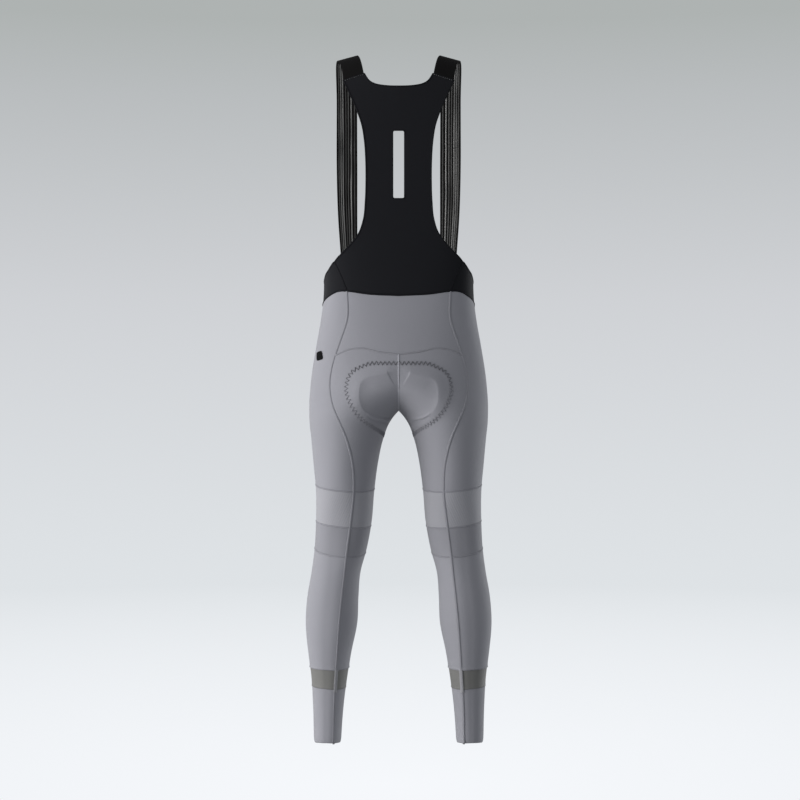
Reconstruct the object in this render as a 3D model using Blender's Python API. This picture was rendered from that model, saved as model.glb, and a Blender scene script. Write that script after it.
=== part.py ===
"""Cycling bib tights, hollow and in the shape they take when worn.

Sizes are in metres. x runs to the wearer's right, y to the front and z up from the shoulders.
Every panel lies on one general figure, which is read in form coordinates: an angle round
the section, in degrees from the outer side (0) to the front (90), and a level. The level is
the height, but above the chest it is the way along the shoulder towards its ridge at 0.
"""

import math
from collections import namedtuple

import bmesh
import bpy
import numpy as np
from mathutils import Vector

TIGHTS_WALL = 0.0015
BIB_WALL = 0.0013
STRAP_WALL = 0.0014
BAND_WALL = 0.0015
LABEL_WALL = 0.0008
SEAM_GAP = 0.0003
TRIM_GAP = 0.0003

CROTCH_Z = -0.690
SHOULDER_RISE = 0.150
SHOULDER_SLOPE = 0.27
RIDGE_X = 0.117

STRAP_RIBS = 6
STRAP_RIB_RISE = 0.0009
STRAP_ROWS = 16
PAD_GAP = 0.0019
PAD_ROWS, PAD_COLUMNS = 28, 10
PAD_EDGE = 0.0025
PAD_CORE = 0.0075
PAD_TOP_Z = -0.602
PAD_FRONT_Z = -0.640
PAD_END_EASE, PAD_SIDE_EASE = 0.5, 0.8
CORE_RELIEF = 0.0015
CORE_X, CORE_Z = 0.041, -0.664
CORE_HALF_WIDTH, CORE_HALF_HEIGHT = 0.040, 0.046
# The core's lift ends and is full at these shares of its half size.
CORE_LIFT_END, CORE_LIFT_FULL = 1.35, 0.50

SLOT_HALF_WIDTH = 0.0108
SLOT_BOTTOM_Z, SLOT_TOP_Z = -0.280, -0.151
SLOT_CORNER = 0.003
SLOT_Y, SLOT_DEPTH = -0.095, 0.080

TAPE_HALF_ANGLE = 5.0
TAPE_TOP_Z, TAPE_BOTTOM_Z = -1.190, -1.236
TAPE_COLUMNS, TAPE_ROWS = 2, 3
LABEL_MIDDLE = (-24.0, -0.5835)
LABEL_HALF_ANGLE, LABEL_HALF_HEIGHT = 6.0, 0.0085
LABEL_TILT, LABEL_LEAN = -0.0017, 2.2
LABEL_COLUMNS, LABEL_ROWS = 3, 2

RING_COLUMNS = 24
THIGH_COLUMNS = 18
SEAT_COLUMNS = 12
NECK_COLUMNS, SHOULDER_COLUMNS = 8, 4
ROWS_BELOW_CROTCH, ROWS_SEAT, ROWS_YOKE = 8, 9, 4
# Powers that crowd the rows towards the crotch.
INSEAM_CROWDING, SEAT_CROWDING, FRONT_CROWDING = 1.3, 1.7, 1.5
BIB_SIDE_ROWS, BIB_FREE_ROWS = 3, 12
INSEAM_FROM_BACK_SEAM = 270.0

# Sections of one leg from the hem up, and of the trunk, where the inner side mirrors the outer.
# The side that lies past the middle plane is cut away, which makes the crotch curve.
Section = namedtuple("Section", "z outer inner back front square")
SECTIONS = (
    Section(-1.400, 0.165, 0.115, 0.069, 0.012, 0.00),
    Section(-1.346, 0.166, 0.114, 0.069, 0.012, 0.00),
    Section(-1.262, 0.168, 0.108, 0.072, 0.013, 0.00),
    Section(-1.210, 0.171, 0.101, 0.079, 0.016, 0.00),
    Section(-1.163, 0.177, 0.093, 0.087, 0.021, 0.00),
    Section(-1.104, 0.182, 0.081, 0.092, 0.029, 0.00),
    Section(-1.055, 0.179, 0.079, 0.089, 0.035, 0.00),
    Section(-1.006, 0.171, 0.075, 0.078, 0.043, 0.00),
    Section(-0.966, 0.166, 0.064, 0.068, 0.051, 0.01),
    Section(-0.907, 0.163, 0.053, 0.068, 0.060, 0.02),
    Section(-0.848, 0.163, 0.048, 0.082, 0.068, 0.01),
    Section(-0.789, 0.168, 0.040, 0.096, 0.074, 0.00),
    Section(-0.743, 0.172, 0.030, 0.107, 0.078, 0.00),
    Section(-0.714, 0.175, 0.019, 0.115, 0.082, 0.00),
    Section(-0.702, 0.1755, 0.011, 0.118, 0.084, 0.00),
    Section(CROTCH_Z, 0.1757, 0.000, 0.120, 0.086, 0.00),
    Section(-0.680, 0.1757, -0.013, 0.122, 0.088, 0.00),
    Section(-0.668, 0.1753, -0.034, 0.123, 0.091, 0.00),
    Section(-0.650, 0.174, -0.075, 0.123, 0.094, 0.00),
    Section(-0.628, 0.172, -0.124, 0.121, 0.096, 0.01),
    Section(-0.608, 0.1695, -0.158, 0.117, 0.098, 0.02),
    Section(-0.588, 0.1665, -0.1665, 0.111, 0.100, 0.03),
    Section(-0.560, 0.1620, -0.1620, 0.102, 0.102, 0.03),
    Section(-0.513, 0.154, -0.154, 0.088, 0.103, 0.04),
    Section(-0.470, 0.149, -0.149, 0.079, 0.104, 0.05),
    Section(-0.430, 0.148, -0.148, 0.076, 0.105, 0.06),
    Section(-0.380, 0.151, -0.151, 0.078, 0.108, 0.07),
    Section(-0.320, 0.158, -0.158, 0.085, 0.112, 0.08),
    Section(-0.260, 0.166, -0.166, 0.094, 0.115, 0.08),
    Section(-0.200, 0.172, -0.172, 0.100, 0.114, 0.08),
    Section(-SHOULDER_RISE, 0.174, -0.174, 0.101, 0.110, 0.08),
)

# The seam down the back of each half, from the waist to the hem, as seen from behind.
SeamPoint = namedtuple("SeamPoint", "z x")
BACK_SEAM = (
    SeamPoint(-1.346, 0.1292),
    SeamPoint(-1.262, 0.1270),
    SeamPoint(-1.183, 0.1220),
    SeamPoint(-1.072, 0.1135),
    SeamPoint(-0.975, 0.1028),
    SeamPoint(-0.905, 0.0936),
    SeamPoint(-0.845, 0.0871),
    SeamPoint(-0.793, 0.0890),
    SeamPoint(-0.764, 0.0950),
    SeamPoint(-0.735, 0.1043),
    SeamPoint(-0.709, 0.1158),
    SeamPoint(-0.681, 0.1275),
    SeamPoint(-0.641, 0.1339),
    SeamPoint(-0.602, 0.1290),
    SeamPoint(-0.557, 0.1144),
    SeamPoint(-0.512, 0.1005),
    SeamPoint(-0.457, 0.1009),
)
BIB_SIDE_SEAM = (
    SeamPoint(-0.457, 0.1009),
    SeamPoint(-0.437, 0.1085),
    SeamPoint(-0.420, 0.1158),
    SeamPoint(-0.401, 0.1250),
)
BIB_OUTLINE = (
    SeamPoint(-0.401, 0.1250),
    SeamPoint(-0.3935, 0.1190),
    SeamPoint(-0.386, 0.1112),
    SeamPoint(-0.377, 0.1022),
    SeamPoint(-0.3655, 0.0908),
    SeamPoint(-0.348, 0.0776),
    SeamPoint(-0.322, 0.0680),
    SeamPoint(-0.284, 0.0637),
    SeamPoint(-0.245, 0.0624),
    SeamPoint(-0.207, 0.0628),
    SeamPoint(-0.168, 0.0655),
    SeamPoint(-0.139, 0.0704),
    SeamPoint(-0.111, 0.0799),
    SeamPoint(-0.074, 0.0960),
    SeamPoint(-0.0493, 0.1071),
)

# Seams that run round the trunk: their height at an angle.
RoundPoint = namedtuple("RoundPoint", "angle z")
WAIST_SEAM = (
    RoundPoint(-90, -0.4666),
    RoundPoint(-69, -0.4630),
    RoundPoint(-58, -0.4586),
    RoundPoint(-47, -0.4570),
    RoundPoint(-28, -0.4670),
    RoundPoint(0, -0.4820),
    RoundPoint(45, -0.5000),
    RoundPoint(90, -0.5060),
)
YOKE_SEAM = (
    RoundPoint(-90, -0.5817),
    RoundPoint(-78, -0.5770),
    RoundPoint(-67, -0.5700),
    RoundPoint(-57, -0.5725),
    RoundPoint(-49, -0.5800),
    RoundPoint(-41, -0.5890),
)
BIB_FRONT_TOP = (
    RoundPoint(-41, -0.4010),
    RoundPoint(-36, -0.4080),
    RoundPoint(-30, -0.4155),
    RoundPoint(-21, -0.4228),
    RoundPoint(-12, -0.4310),
    RoundPoint(0, -0.4375),
    RoundPoint(25, -0.4400),
    RoundPoint(45, -0.4390),
    RoundPoint(65, -0.4440),
    RoundPoint(90, -0.4490),
)

# The back neckline from the middle to the shoulder seam, and that seam's outer end.
NECKLINE = (
    SeamPoint(-0.0636, 0.0),
    SeamPoint(-0.0630, 0.0190),
    SeamPoint(-0.0607, 0.0370),
    SeamPoint(-0.0570, 0.0490),
    SeamPoint(-0.0515, 0.0573),
    SeamPoint(-0.0440, 0.0627),
    SeamPoint(-0.0358, 0.0671),
)
SHOULDER_SEAM_OUT = SeamPoint(-0.0493, 0.1071)

# Edges of a strap: way is the level with its sign turned round behind the ridge.
StrapEdge = namedtuple("StrapEdge", "way inner outer")
STRAP_EDGES = (
    StrapEdge(-0.440, 0.0820, 0.1125),
    StrapEdge(-0.376, 0.0835, 0.1170),
    StrapEdge(-0.300, 0.0840, 0.1225),
    StrapEdge(-0.200, 0.0840, 0.1255),
    StrapEdge(-0.100, 0.0842, 0.1250),
    StrapEdge(0.000, 0.0838, 0.1220),
    StrapEdge(0.040, 0.0752, 0.1142),
    StrapEdge(0.0788, 0.0671, 0.1071),
)

# Seams round a leg. Each ring lies on a tilted plane: higher at the outer side and the front.
LegSeam = namedtuple("LegSeam", "z outer_rise front_rise")
KNEE_TOP = LegSeam(-0.8402, 0.0042, 0.0063)
KNEE_MIDDLE = LegSeam(-0.9120, 0.0050, 0.0050)
KNEE_BOTTOM = LegSeam(-0.9652, 0.0048, 0.0087)
BAND_TOP = LegSeam(-1.1915, 0.0005, 0.0)
BAND_BOTTOM = LegSeam(-1.2295, 0.0015, 0.0)
HEM = LegSeam(-1.3400, 0.0, 0.0)

LegPiece = namedtuple("LegPiece", "name top bottom rows wall material")
LEG_PIECES = (
    LegPiece("knee_upper", KNEE_TOP, KNEE_MIDDLE, 2, TIGHTS_WALL, "grey_mesh"),
    LegPiece("knee_lower", KNEE_MIDDLE, KNEE_BOTTOM, 2, TIGHTS_WALL, "grey_jersey"),
    LegPiece("calf", KNEE_BOTTOM, BAND_TOP, 5, TIGHTS_WALL, "grey_jersey"),
    LegPiece("calf_band", BAND_TOP, BAND_BOTTOM, 1, BAND_WALL, "reflective_band"),
    LegPiece("cuff", BAND_BOTTOM, HEM, 3, TIGHTS_WALL, "grey_jersey"),
)

# The outer edge of the seat pad on the back, under the crotch and on the front.
PadPoint = namedtuple("PadPoint", "angle z")
PAD_EDGE_POINTS = (
    PadPoint(-64, -0.609),
    PadPoint(-57, -0.625),
    PadPoint(-59, -0.645),
    PadPoint(-75, -0.667),
    PadPoint(-96, -0.688),
    PadPoint(-116, -0.704),
    PadPoint(-140, -0.720),
    PadPoint(-165, -0.733),
    PadPoint(-190, -0.735),
    PadPoint(-215, -0.727),
    PadPoint(-236, -0.712),
    PadPoint(-254, -0.692),
    PadPoint(-268, -0.670),
    PadPoint(-276, -0.650),
    PadPoint(-274, -0.643),
)

Finish = namedtuple("Finish", "color roughness metallic")
FINISHES = {
    "grey_jersey": Finish((0.33, 0.33, 0.36), 0.62, 0.0),
    "grey_mesh": Finish((0.36, 0.36, 0.39), 0.75, 0.0),
    "black_jersey": Finish((0.012, 0.012, 0.014), 0.60, 0.0),
    "black_elastic": Finish((0.015, 0.014, 0.014), 0.80, 0.0),
    "reflective_band": Finish((0.12, 0.12, 0.11), 0.45, 0.2),
    "pad_foam": Finish((0.05, 0.05, 0.055), 0.85, 0.0),
    "black_label": Finish((0.006, 0.006, 0.008), 0.50, 0.0),
}


class Curve:
    """A smooth curve through the rows of a table, keyed by the rows' first column."""

    def __init__(self, rows):
        table = np.array(sorted(rows), float)
        self.keys = table[:, 0]
        self.values = table[:, 1:]
        self.slopes = np.gradient(self.values, self.keys, axis=0)

    def at(self, key):
        key = min(max(key, self.keys[0]), self.keys[-1])
        high = min(max(int(np.searchsorted(self.keys, key)), 1), len(self.keys) - 1)
        low = high - 1
        step = self.keys[high] - self.keys[low]
        u = (key - self.keys[low]) / step
        ease = u * u * (3 - 2 * u)
        start_slope = u * (1 - u) ** 2 * step
        end_slope = u * u * (u - 1) * step
        return (
            self.values[low] * (1 - ease)
            + self.values[high] * ease
            + self.slopes[low] * start_slope
            + self.slopes[high] * end_slope
        )


SHAPE = Curve(SECTIONS)
BACK_SEAM_X = Curve(BACK_SEAM)
BIB_SIDE_X = Curve(BIB_SIDE_SEAM)
BIB_OUTLINE_X = Curve(BIB_OUTLINE)
WAIST_Z = Curve(WAIST_SEAM)
YOKE_Z = Curve(YOKE_SEAM)
BIB_FRONT_Z = Curve(BIB_FRONT_TOP)
STRAP_X = Curve(STRAP_EDGES)


def spread(low, high, count, power=1.0):
    """count + 1 values from low to high, closer together near low where power is over 1."""
    return [low + (high - low) * (i / count) ** power for i in range(count + 1)]


def section_at(level):
    return Section(level, *SHAPE.at(min(level, -SHOULDER_RISE)))


def oval(angle, square):
    """Across and depth of a squared oval, each from -1 to 1."""
    turn = math.radians(angle)
    across = math.cos(turn) - square * math.cos(3 * turn)
    depth = math.sin(turn) + square * math.sin(3 * turn)
    return across / (1 - square), depth / (1 - square)


def form_point(angle, level):
    """The point of the wearer's right half at form coordinates."""
    section = section_at(level)
    across, depth = oval(angle, section.square)
    x = (section.outer + section.inner + (section.outer - section.inner) * across) / 2
    y = (section.front - section.back + (section.front + section.back) * depth) / 2
    if level <= -SHOULDER_RISE:
        return Vector((x, y, level))
    turn = -level / SHOULDER_RISE * math.pi / 2
    droop = SHOULDER_SLOPE * (RIDGE_X - abs(x))
    z = -SHOULDER_RISE + (SHOULDER_RISE + droop) * math.cos(turn)
    return Vector((x, y * math.sin(turn), z))


def form_normal(angle, level):
    """The outward direction of the form."""
    turn_step, level_step = 0.4, 0.0004
    around = form_point(angle + turn_step, level) - form_point(angle - turn_step, level)
    along = form_point(angle, level + level_step) - form_point(angle, level - level_step)
    normal = around.cross(along).normalized()
    section = section_at(level)
    inside = Vector((
        (section.outer + section.inner) / 2,
        (section.front - section.back) / 2,
        min(level, -SHOULDER_RISE),
    ))
    return normal if normal.dot(form_point(angle, level) - inside) > 0 else -normal


def core_relief(point):
    """How far the pad's thick core pushes the seat cloth out."""
    if point.y > 0:
        return 0.0
    across = (abs(point.x) - CORE_X) / CORE_HALF_WIDTH
    up = (point.z - CORE_Z) / CORE_HALF_HEIGHT
    slope = CORE_LIFT_END - CORE_LIFT_FULL
    fall = min(max((CORE_LIFT_END - math.hypot(across, up)) / slope, 0.0), 1.0)
    return CORE_RELIEF * fall * fall * (3 - 2 * fall)


def angle_at_x(x, level):
    """The angle, from 0 to 180, at which the form's section reaches x."""
    section = section_at(level)
    centre = (section.outer + section.inner) / 2
    half = (section.outer - section.inner) / 2
    low, high = 0.0, 180.0
    for _ in range(40):
        middle = (low + high) / 2
        if centre + half * oval(middle, section.square)[0] > x:
            low = middle
        else:
            high = middle
    return (low + high) / 2


def centre_angle(z):
    """The angle at which a section meets the middle plane."""
    return 180.0 if z <= CROTCH_Z else angle_at_x(0.0, z)


def back_seam_angle(z):
    return -angle_at_x(BACK_SEAM_X.at(z)[0], z)


def level_at(x, z):
    """The level of a height, which differs from it only on the shoulder."""
    if z <= -SHOULDER_RISE:
        return z
    droop = SHOULDER_SLOPE * (RIDGE_X - abs(x))
    turn = math.acos(min((z + SHOULDER_RISE) / (SHOULDER_RISE + droop), 1.0))
    return -SHOULDER_RISE * turn / (math.pi / 2)


def on_back(x, z):
    """Form coordinates of the back at x and z."""
    level = level_at(x, z)
    return -angle_at_x(x, level), level


def leg_seam_z(seam, angle):
    turn = math.radians(angle)
    return seam.z + seam.outer_rise * math.cos(turn) + seam.front_rise * math.sin(turn)


def leg_seam_start(seam):
    """The angle at which a seam round the leg crosses the back seam."""
    return back_seam_angle(seam.z - seam.front_rise)


def leg_ring(seam, first, last, columns):
    """Form coordinates along a seam round the leg between two angles past the back seam."""
    start = leg_seam_start(seam)
    angles = spread(start + first, start + last, columns)
    return [(angle, leg_seam_z(seam, angle)) for angle in angles]


def filled(left, right, bottom, top):
    """Rows of form coordinates filling four edges that share their corners."""
    left, right, bottom, top = (np.array(edge, float) for edge in (left, right, bottom, top))
    rows, columns = len(left), len(bottom)
    net = np.zeros((rows, columns, 2))
    for j in range(rows):
        up = j / (rows - 1)
        for i in range(columns):
            over = i / (columns - 1)
            corners = (
                (1 - up) * ((1 - over) * bottom[0] + over * bottom[-1])
                + up * ((1 - over) * top[0] + over * top[-1])
            )
            net[j, i] = (
                (1 - over) * left[j] + over * right[j]
                + (1 - up) * bottom[i] + up * top[i] - corners
            )
    return net


def moved_in(points, sides, gap):
    """Points with each named side of their grid drawn in along the cloth by half a seam gap."""
    moved = points.copy()
    neighbours = {
        "left": ((slice(None), 0), (slice(None), 1)),
        "right": ((slice(None), -1), (slice(None), -2)),
        "bottom": ((0,), (1,)),
        "top": ((-1,), (-2,)),
    }
    for side in sides:
        edge, inner = neighbours[side]
        way = points[inner] - points[edge]
        moved[edge] += way / np.linalg.norm(way, axis=-1, keepdims=True) * gap / 2
    return moved


def half_cloth(net, wall, seams, lift=0.0, relief=False):
    """Outer and inner points of a wall laid on the right half of the form.

    Where an edge runs in the middle plane, its inner points are mitred, so that they
    stay in that plane. wall is one thickness or an array of them.
    """
    rows, columns = net.shape[:2]
    wall = np.broadcast_to(wall, (rows, columns))
    outer = np.zeros((rows, columns, 3))
    normals = np.zeros((rows, columns, 3))
    for j in range(rows):
        for i in range(columns):
            point = form_point(*net[j, i])
            normal = form_normal(*net[j, i])
            rise = lift + (core_relief(point) if relief else 0.0)
            in_plane = abs(point.x) < 1e-5
            if in_plane:
                flat = Vector((0.0, normal.y, normal.z))
                normal = flat / flat.length_squared
            outer[j, i] = point + normal * rise
            normals[j, i] = normal
    inner = outer - normals * wall[:, :, None]
    shifted = moved_in(outer, seams, SEAM_GAP)
    return shifted, inner + (shifted - outer)


def kept_off_middle(points):
    """Points of a half piece kept half a seam gap clear of the middle plane."""
    points = points.copy()
    points[..., 0] = np.maximum(points[..., 0], SEAM_GAP / 2)
    return points


def both_halves(points):
    """A half grid whose first column is in the middle plane, joined to its mirror image."""
    mirrored = points[:, :0:-1] * np.array((-1.0, 1.0, 1.0))
    return np.concatenate([mirrored, points], axis=1)


def fabric(name):
    if name in bpy.data.materials:
        return bpy.data.materials[name]
    finish = FINISHES[name]
    material = bpy.data.materials.new(name)
    material.use_nodes = True
    shader = material.node_tree.nodes["Principled BSDF"]
    shader.inputs["Base Color"].default_value = (*finish.color, 1.0)
    shader.inputs["Roughness"].default_value = finish.roughness
    shader.inputs["Metallic"].default_value = finish.metallic
    material.diffuse_color = (*finish.color, 1.0)
    return material


def sewn_piece(name, outer, inner, material, collection):
    """A wall made from a flat blank of two layers, wrapped onto its outer and inner points."""
    rows, columns = outer.shape[:2]
    blank = bmesh.new()
    bmesh.ops.create_grid(blank, x_segments=columns - 1, y_segments=rows - 1, size=1.0)
    made = bmesh.ops.extrude_face_region(blank, geom=blank.faces[:], use_keep_orig=True)
    new = [item for item in made["geom"] if isinstance(item, bmesh.types.BMVert)]
    bmesh.ops.translate(blank, verts=new, vec=(0.0, 0.0, 1.0))
    for vertex in blank.verts:
        i = round((vertex.co.x + 1) / 2 * (columns - 1))
        j = round((vertex.co.y + 1) / 2 * (rows - 1))
        vertex.co = (outer if vertex.co.z > 0.5 else inner)[j, i]
    bmesh.ops.recalc_face_normals(blank, faces=blank.faces)
    if blank.calc_volume(signed=True) < 0:
        bmesh.ops.reverse_faces(blank, faces=blank.faces)
    mesh = bpy.data.meshes.new(name)
    blank.to_mesh(mesh)
    blank.free()
    mesh.shade_smooth()
    mesh.set_sharp_from_angle(angle=math.radians(45))
    mesh.materials.append(fabric(material))
    piece = bpy.data.objects.new(name, mesh)
    collection.objects.link(piece)
    return piece


def pair(name, outer, inner, material, collection):
    """A piece for each half: the right one as given, and the left one mirrored."""
    for side, sign in (("right", 1.0), ("left", -1.0)):
        flip = np.array((sign, 1.0, 1.0))
        sewn_piece(f"{name}_{side}", outer * flip, inner * flip, material, collection)


def inseam_angle(z):
    """The angle of the inseam on the seat side, from the crotch down to the knee seam."""
    knee_z = leg_seam_z(KNEE_TOP, 180.0)
    knee_angle = leg_seam_start(KNEE_TOP) + INSEAM_FROM_BACK_SEAM - 360
    share = (CROTCH_Z - z) / (CROTCH_Z - knee_z)
    return -180 + share * (knee_angle + 180)


def inseam_heights():
    """Heights of the rows on the inseam, from the knee seam to the crotch."""
    start = leg_seam_start(KNEE_TOP) + INSEAM_FROM_BACK_SEAM
    end = leg_seam_z(KNEE_TOP, start)
    return spread(CROTCH_Z, end, ROWS_BELOW_CROTCH, INSEAM_CROWDING)[::-1]


def inseam(turns):
    """The inseam in form coordinates, with its angle moved on by whole turns."""
    rows = [(inseam_angle(z) + 360 * turns, z) for z in inseam_heights()]
    end = leg_ring(KNEE_TOP, INSEAM_FROM_BACK_SEAM, INSEAM_FROM_BACK_SEAM, 1)[0]
    rows[0] = (end[0] + 360 * (turns - 1), end[1])
    return rows


def yoke_end():
    """The height at which the yoke seam runs into the back seam."""
    z = YOKE_SEAM[-1].z
    for _ in range(6):
        z = YOKE_Z.at(back_seam_angle(z))[0]
    return z


def back_seam_rows(low, high, rows):
    return [(back_seam_angle(z), z) for z in spread(low, high, rows)]


def waist_corner():
    """The angle and height at which the back seam meets the waist seam."""
    z = BACK_SEAM[-1].z
    return back_seam_angle(z), WAIST_Z.at(back_seam_angle(z))[0]


def round_seam(curve, first, last, columns):
    return [(angle, curve.at(angle)[0]) for angle in spread(first, last, columns)]


def seat_net():
    knee = leg_ring(KNEE_TOP, INSEAM_FROM_BACK_SEAM - 360, 0, SEAT_COLUMNS)
    yoke = round_seam(YOKE_Z, -90.0, back_seam_angle(yoke_end()), SEAT_COLUMNS)
    middle = spread(CROTCH_Z, yoke[0][1], ROWS_SEAT, SEAT_CROWDING)[1:]
    left = inseam(0) + [(-centre_angle(z), z) for z in middle]
    right = back_seam_rows(knee[-1][1], yoke[-1][1], len(left) - 1)
    return filled(left, right, knee, yoke)


def thigh_net():
    knee = leg_ring(KNEE_TOP, 0, INSEAM_FROM_BACK_SEAM, THIGH_COLUMNS)
    corner_angle, corner_z = waist_corner()
    waist = round_seam(WAIST_Z, corner_angle, 90.0, THIGH_COLUMNS)
    seat_rows = ROWS_BELOW_CROTCH + ROWS_SEAT
    left = back_seam_rows(knee[0][1], yoke_end(), seat_rows)
    left += back_seam_rows(yoke_end(), corner_z, ROWS_YOKE)[1:]
    above = spread(CROTCH_Z, waist[-1][1], ROWS_SEAT + ROWS_YOKE, FRONT_CROWDING)[1:]
    right = inseam(1) + [(centre_angle(z), z) for z in above]
    return filled(left, right, knee, waist)


def yoke_net():
    corner_angle, corner_z = waist_corner()
    low = yoke_end()
    bottom = round_seam(YOKE_Z, -90.0, back_seam_angle(low), SEAT_COLUMNS)
    top = round_seam(WAIST_Z, -90.0, corner_angle, SEAT_COLUMNS)
    left = [(-90.0, z) for z in spread(bottom[0][1], top[0][1], ROWS_YOKE)]
    right = back_seam_rows(low, corner_z, ROWS_YOKE)
    return filled(left, right, bottom, top)


def leg_piece_net(piece):
    bottom = leg_ring(piece.bottom, 0, 360, RING_COLUMNS)
    top = leg_ring(piece.top, 0, 360, RING_COLUMNS)
    left = back_seam_rows(bottom[0][1], top[0][1], piece.rows)
    right = [(angle + 360, z) for angle, z in left]
    return filled(left, right, bottom, top)


def shoulder_seam(columns):
    """Points of the seam between a strap and the back panel, from the neck outwards."""
    inner, outer = NECKLINE[-1], SHOULDER_SEAM_OUT
    zs = spread(inner.z, outer.z, columns)
    xs = spread(inner.x, outer.x, columns)
    return list(zip(xs, zs))


def bib_back_net():
    """The back panel, filled in seen from behind and then carried onto the form."""
    corner_angle, corner_z = waist_corner()
    waist = round_seam(WAIST_Z, -90.0, corner_angle, SEAT_COLUMNS)
    bottom = [(form_point(*place).x, place[1]) for place in waist]
    neck = Curve([(i, point.x, point.z) for i, point in enumerate(NECKLINE)])
    top = [tuple(neck.at(key)) for key in spread(0.0, len(NECKLINE) - 1, NECK_COLUMNS)]
    top += shoulder_seam(SHOULDER_COLUMNS)[1:]
    side = [(BIB_SIDE_X.at(z)[0], z) for z in spread(corner_z, BIB_OUTLINE[0].z, BIB_SIDE_ROWS)]
    free = spread(BIB_OUTLINE[0].z, BIB_OUTLINE[-1].z, BIB_FREE_ROWS)
    right = side + [(BIB_OUTLINE_X.at(z)[0], z) for z in free[1:]]
    right[0] = bottom[-1]
    left = [(0.0, z) for z in spread(bottom[0][1], top[0][1], len(right) - 1)]
    flat = filled(left, right, bottom, top)
    net = np.zeros_like(flat)
    for place in np.ndindex(flat.shape[:2]):
        net[place] = on_back(*flat[place])
    return net


def bib_front_net():
    """Half of the front waist panel, from the middle of the front to the side seam."""
    corner_angle, corner_z = waist_corner()
    side = spread(corner_z, BIB_OUTLINE[0].z, BIB_SIDE_ROWS)
    right = [(-angle_at_x(BIB_SIDE_X.at(z)[0], z), z) for z in side]
    right[0] = (corner_angle, corner_z)
    bottom = round_seam(WAIST_Z, corner_angle, 90.0, THIGH_COLUMNS)[::-1]
    top = round_seam(BIB_FRONT_Z, right[-1][0], 90.0, THIGH_COLUMNS)[::-1]
    top[-1] = right[-1]
    left = [(90.0, z) for z in spread(bottom[0][1], top[0][1], BIB_SIDE_ROWS)]
    return filled(left, right, bottom, top)


def strap_net():
    """A strap from the front waist panel up over the shoulder ridge to the back panel."""
    columns = 2 * STRAP_RIBS
    shoulder = shoulder_seam(columns)
    net = np.zeros((STRAP_ROWS + 1, columns + 1, 2))
    for i in range(columns + 1):
        over = i / columns
        low = STRAP_EDGES[0].way
        for _ in range(6):
            edges = StrapEdge(low, *STRAP_X.at(low))
            x = edges.inner + (edges.outer - edges.inner) * over
            low = BIB_FRONT_Z.at(angle_at_x(x, low))[0]
        high = -level_at(*shoulder[i])
        for j, way in enumerate(spread(low, high, STRAP_ROWS)):
            edges = StrapEdge(way, *STRAP_X.at(way))
            x = edges.inner + (edges.outer - edges.inner) * over
            face = 1 if way < 0 else -1
            net[j, i] = (face * angle_at_x(x, -abs(way)), -abs(way))
    return net


def strap_ribs():
    """The extra thickness of the ribs across a strap: crests between the grooves."""
    crests = np.arange(2 * STRAP_RIBS + 1) % 2 == 1
    return np.where(crests, STRAP_RIB_RISE, 0.0)


def pad_net():
    """Half of the seat pad, from the crotch curve out to the pad's edge."""
    curve = Curve([(i, *point) for i, point in enumerate(PAD_EDGE_POINTS)])
    edge = [curve.at(key) for key in spread(0.0, len(PAD_EDGE_POINTS) - 1, PAD_ROWS)]
    behind = PAD_ROWS // 2
    ahead = PAD_ROWS - behind
    inner = []
    for share in spread(1.0, 0.0, behind):
        z = CROTCH_Z + (PAD_TOP_Z - CROTCH_Z) * share ** 2
        inner.append((-centre_angle(z), z))
    for share in spread(0.0, 1.0, ahead)[1:]:
        z = CROTCH_Z + (PAD_FRONT_Z - CROTCH_Z) * share ** 2
        inner.append((-360 + centre_angle(z), z))
    first, last = (
        list(zip(*(spread(start, stop, PAD_COLUMNS) for start, stop in zip(inner[j], edge[j]))))
        for j in (0, -1)
    )
    return filled(inner, edge, first, last)


def pad_thickness(shape):
    """Thin along the middle channel and the edges, and thick over the cores between."""
    rows, columns = shape
    along = np.sin(np.linspace(0, math.pi, rows)) ** PAD_END_EASE
    across = np.sin(np.linspace(0, math.pi, columns)) ** PAD_SIDE_EASE
    return PAD_EDGE + (PAD_CORE - PAD_EDGE) * along[:, None] * across[None, :]


def trim_net(first_angle, last_angle, low, high, columns, rows, tilt=0.0, lean=0.0):
    """A small patch that lies on a panel, turned a little by its tilt in metres and lean in degrees."""
    net = np.zeros((rows + 1, columns + 1, 2))
    for j, z in enumerate(spread(low, high, rows)):
        for i, angle in enumerate(spread(first_angle, last_angle, columns)):
            up, over = 2 * j / rows - 1, 2 * i / columns - 1
            net[j, i] = (angle + lean * up, z + tilt * over)
    return net


def cut_slot(panel, cutters):
    """The upright slot with round corners, cut through the back panel."""
    block = bmesh.new()
    bmesh.ops.create_cube(block, size=1.0)
    size = (2 * SLOT_HALF_WIDTH, SLOT_DEPTH, SLOT_TOP_Z - SLOT_BOTTOM_Z)
    bmesh.ops.scale(block, verts=block.verts, vec=size)
    corners = [e for e in block.edges if abs(e.verts[0].co.y - e.verts[1].co.y) > SLOT_DEPTH / 2]
    bmesh.ops.bevel(
        block, geom=corners, offset=SLOT_CORNER, segments=3, profile=0.5, affect="EDGES"
    )
    middle = (0.0, SLOT_Y, (SLOT_TOP_Z + SLOT_BOTTOM_Z) / 2)
    bmesh.ops.translate(block, verts=block.verts, vec=middle)
    mesh = bpy.data.meshes.new("slot_cutter")
    block.to_mesh(mesh)
    block.free()
    cutter = bpy.data.objects.new("slot_cutter", mesh)
    cutter.hide_render = True
    cutter.display_type = "WIRE"
    cutters.objects.link(cutter)
    cut = panel.modifiers.new("slot", "BOOLEAN")
    cut.operation = "DIFFERENCE"
    cut.object = cutter


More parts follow.
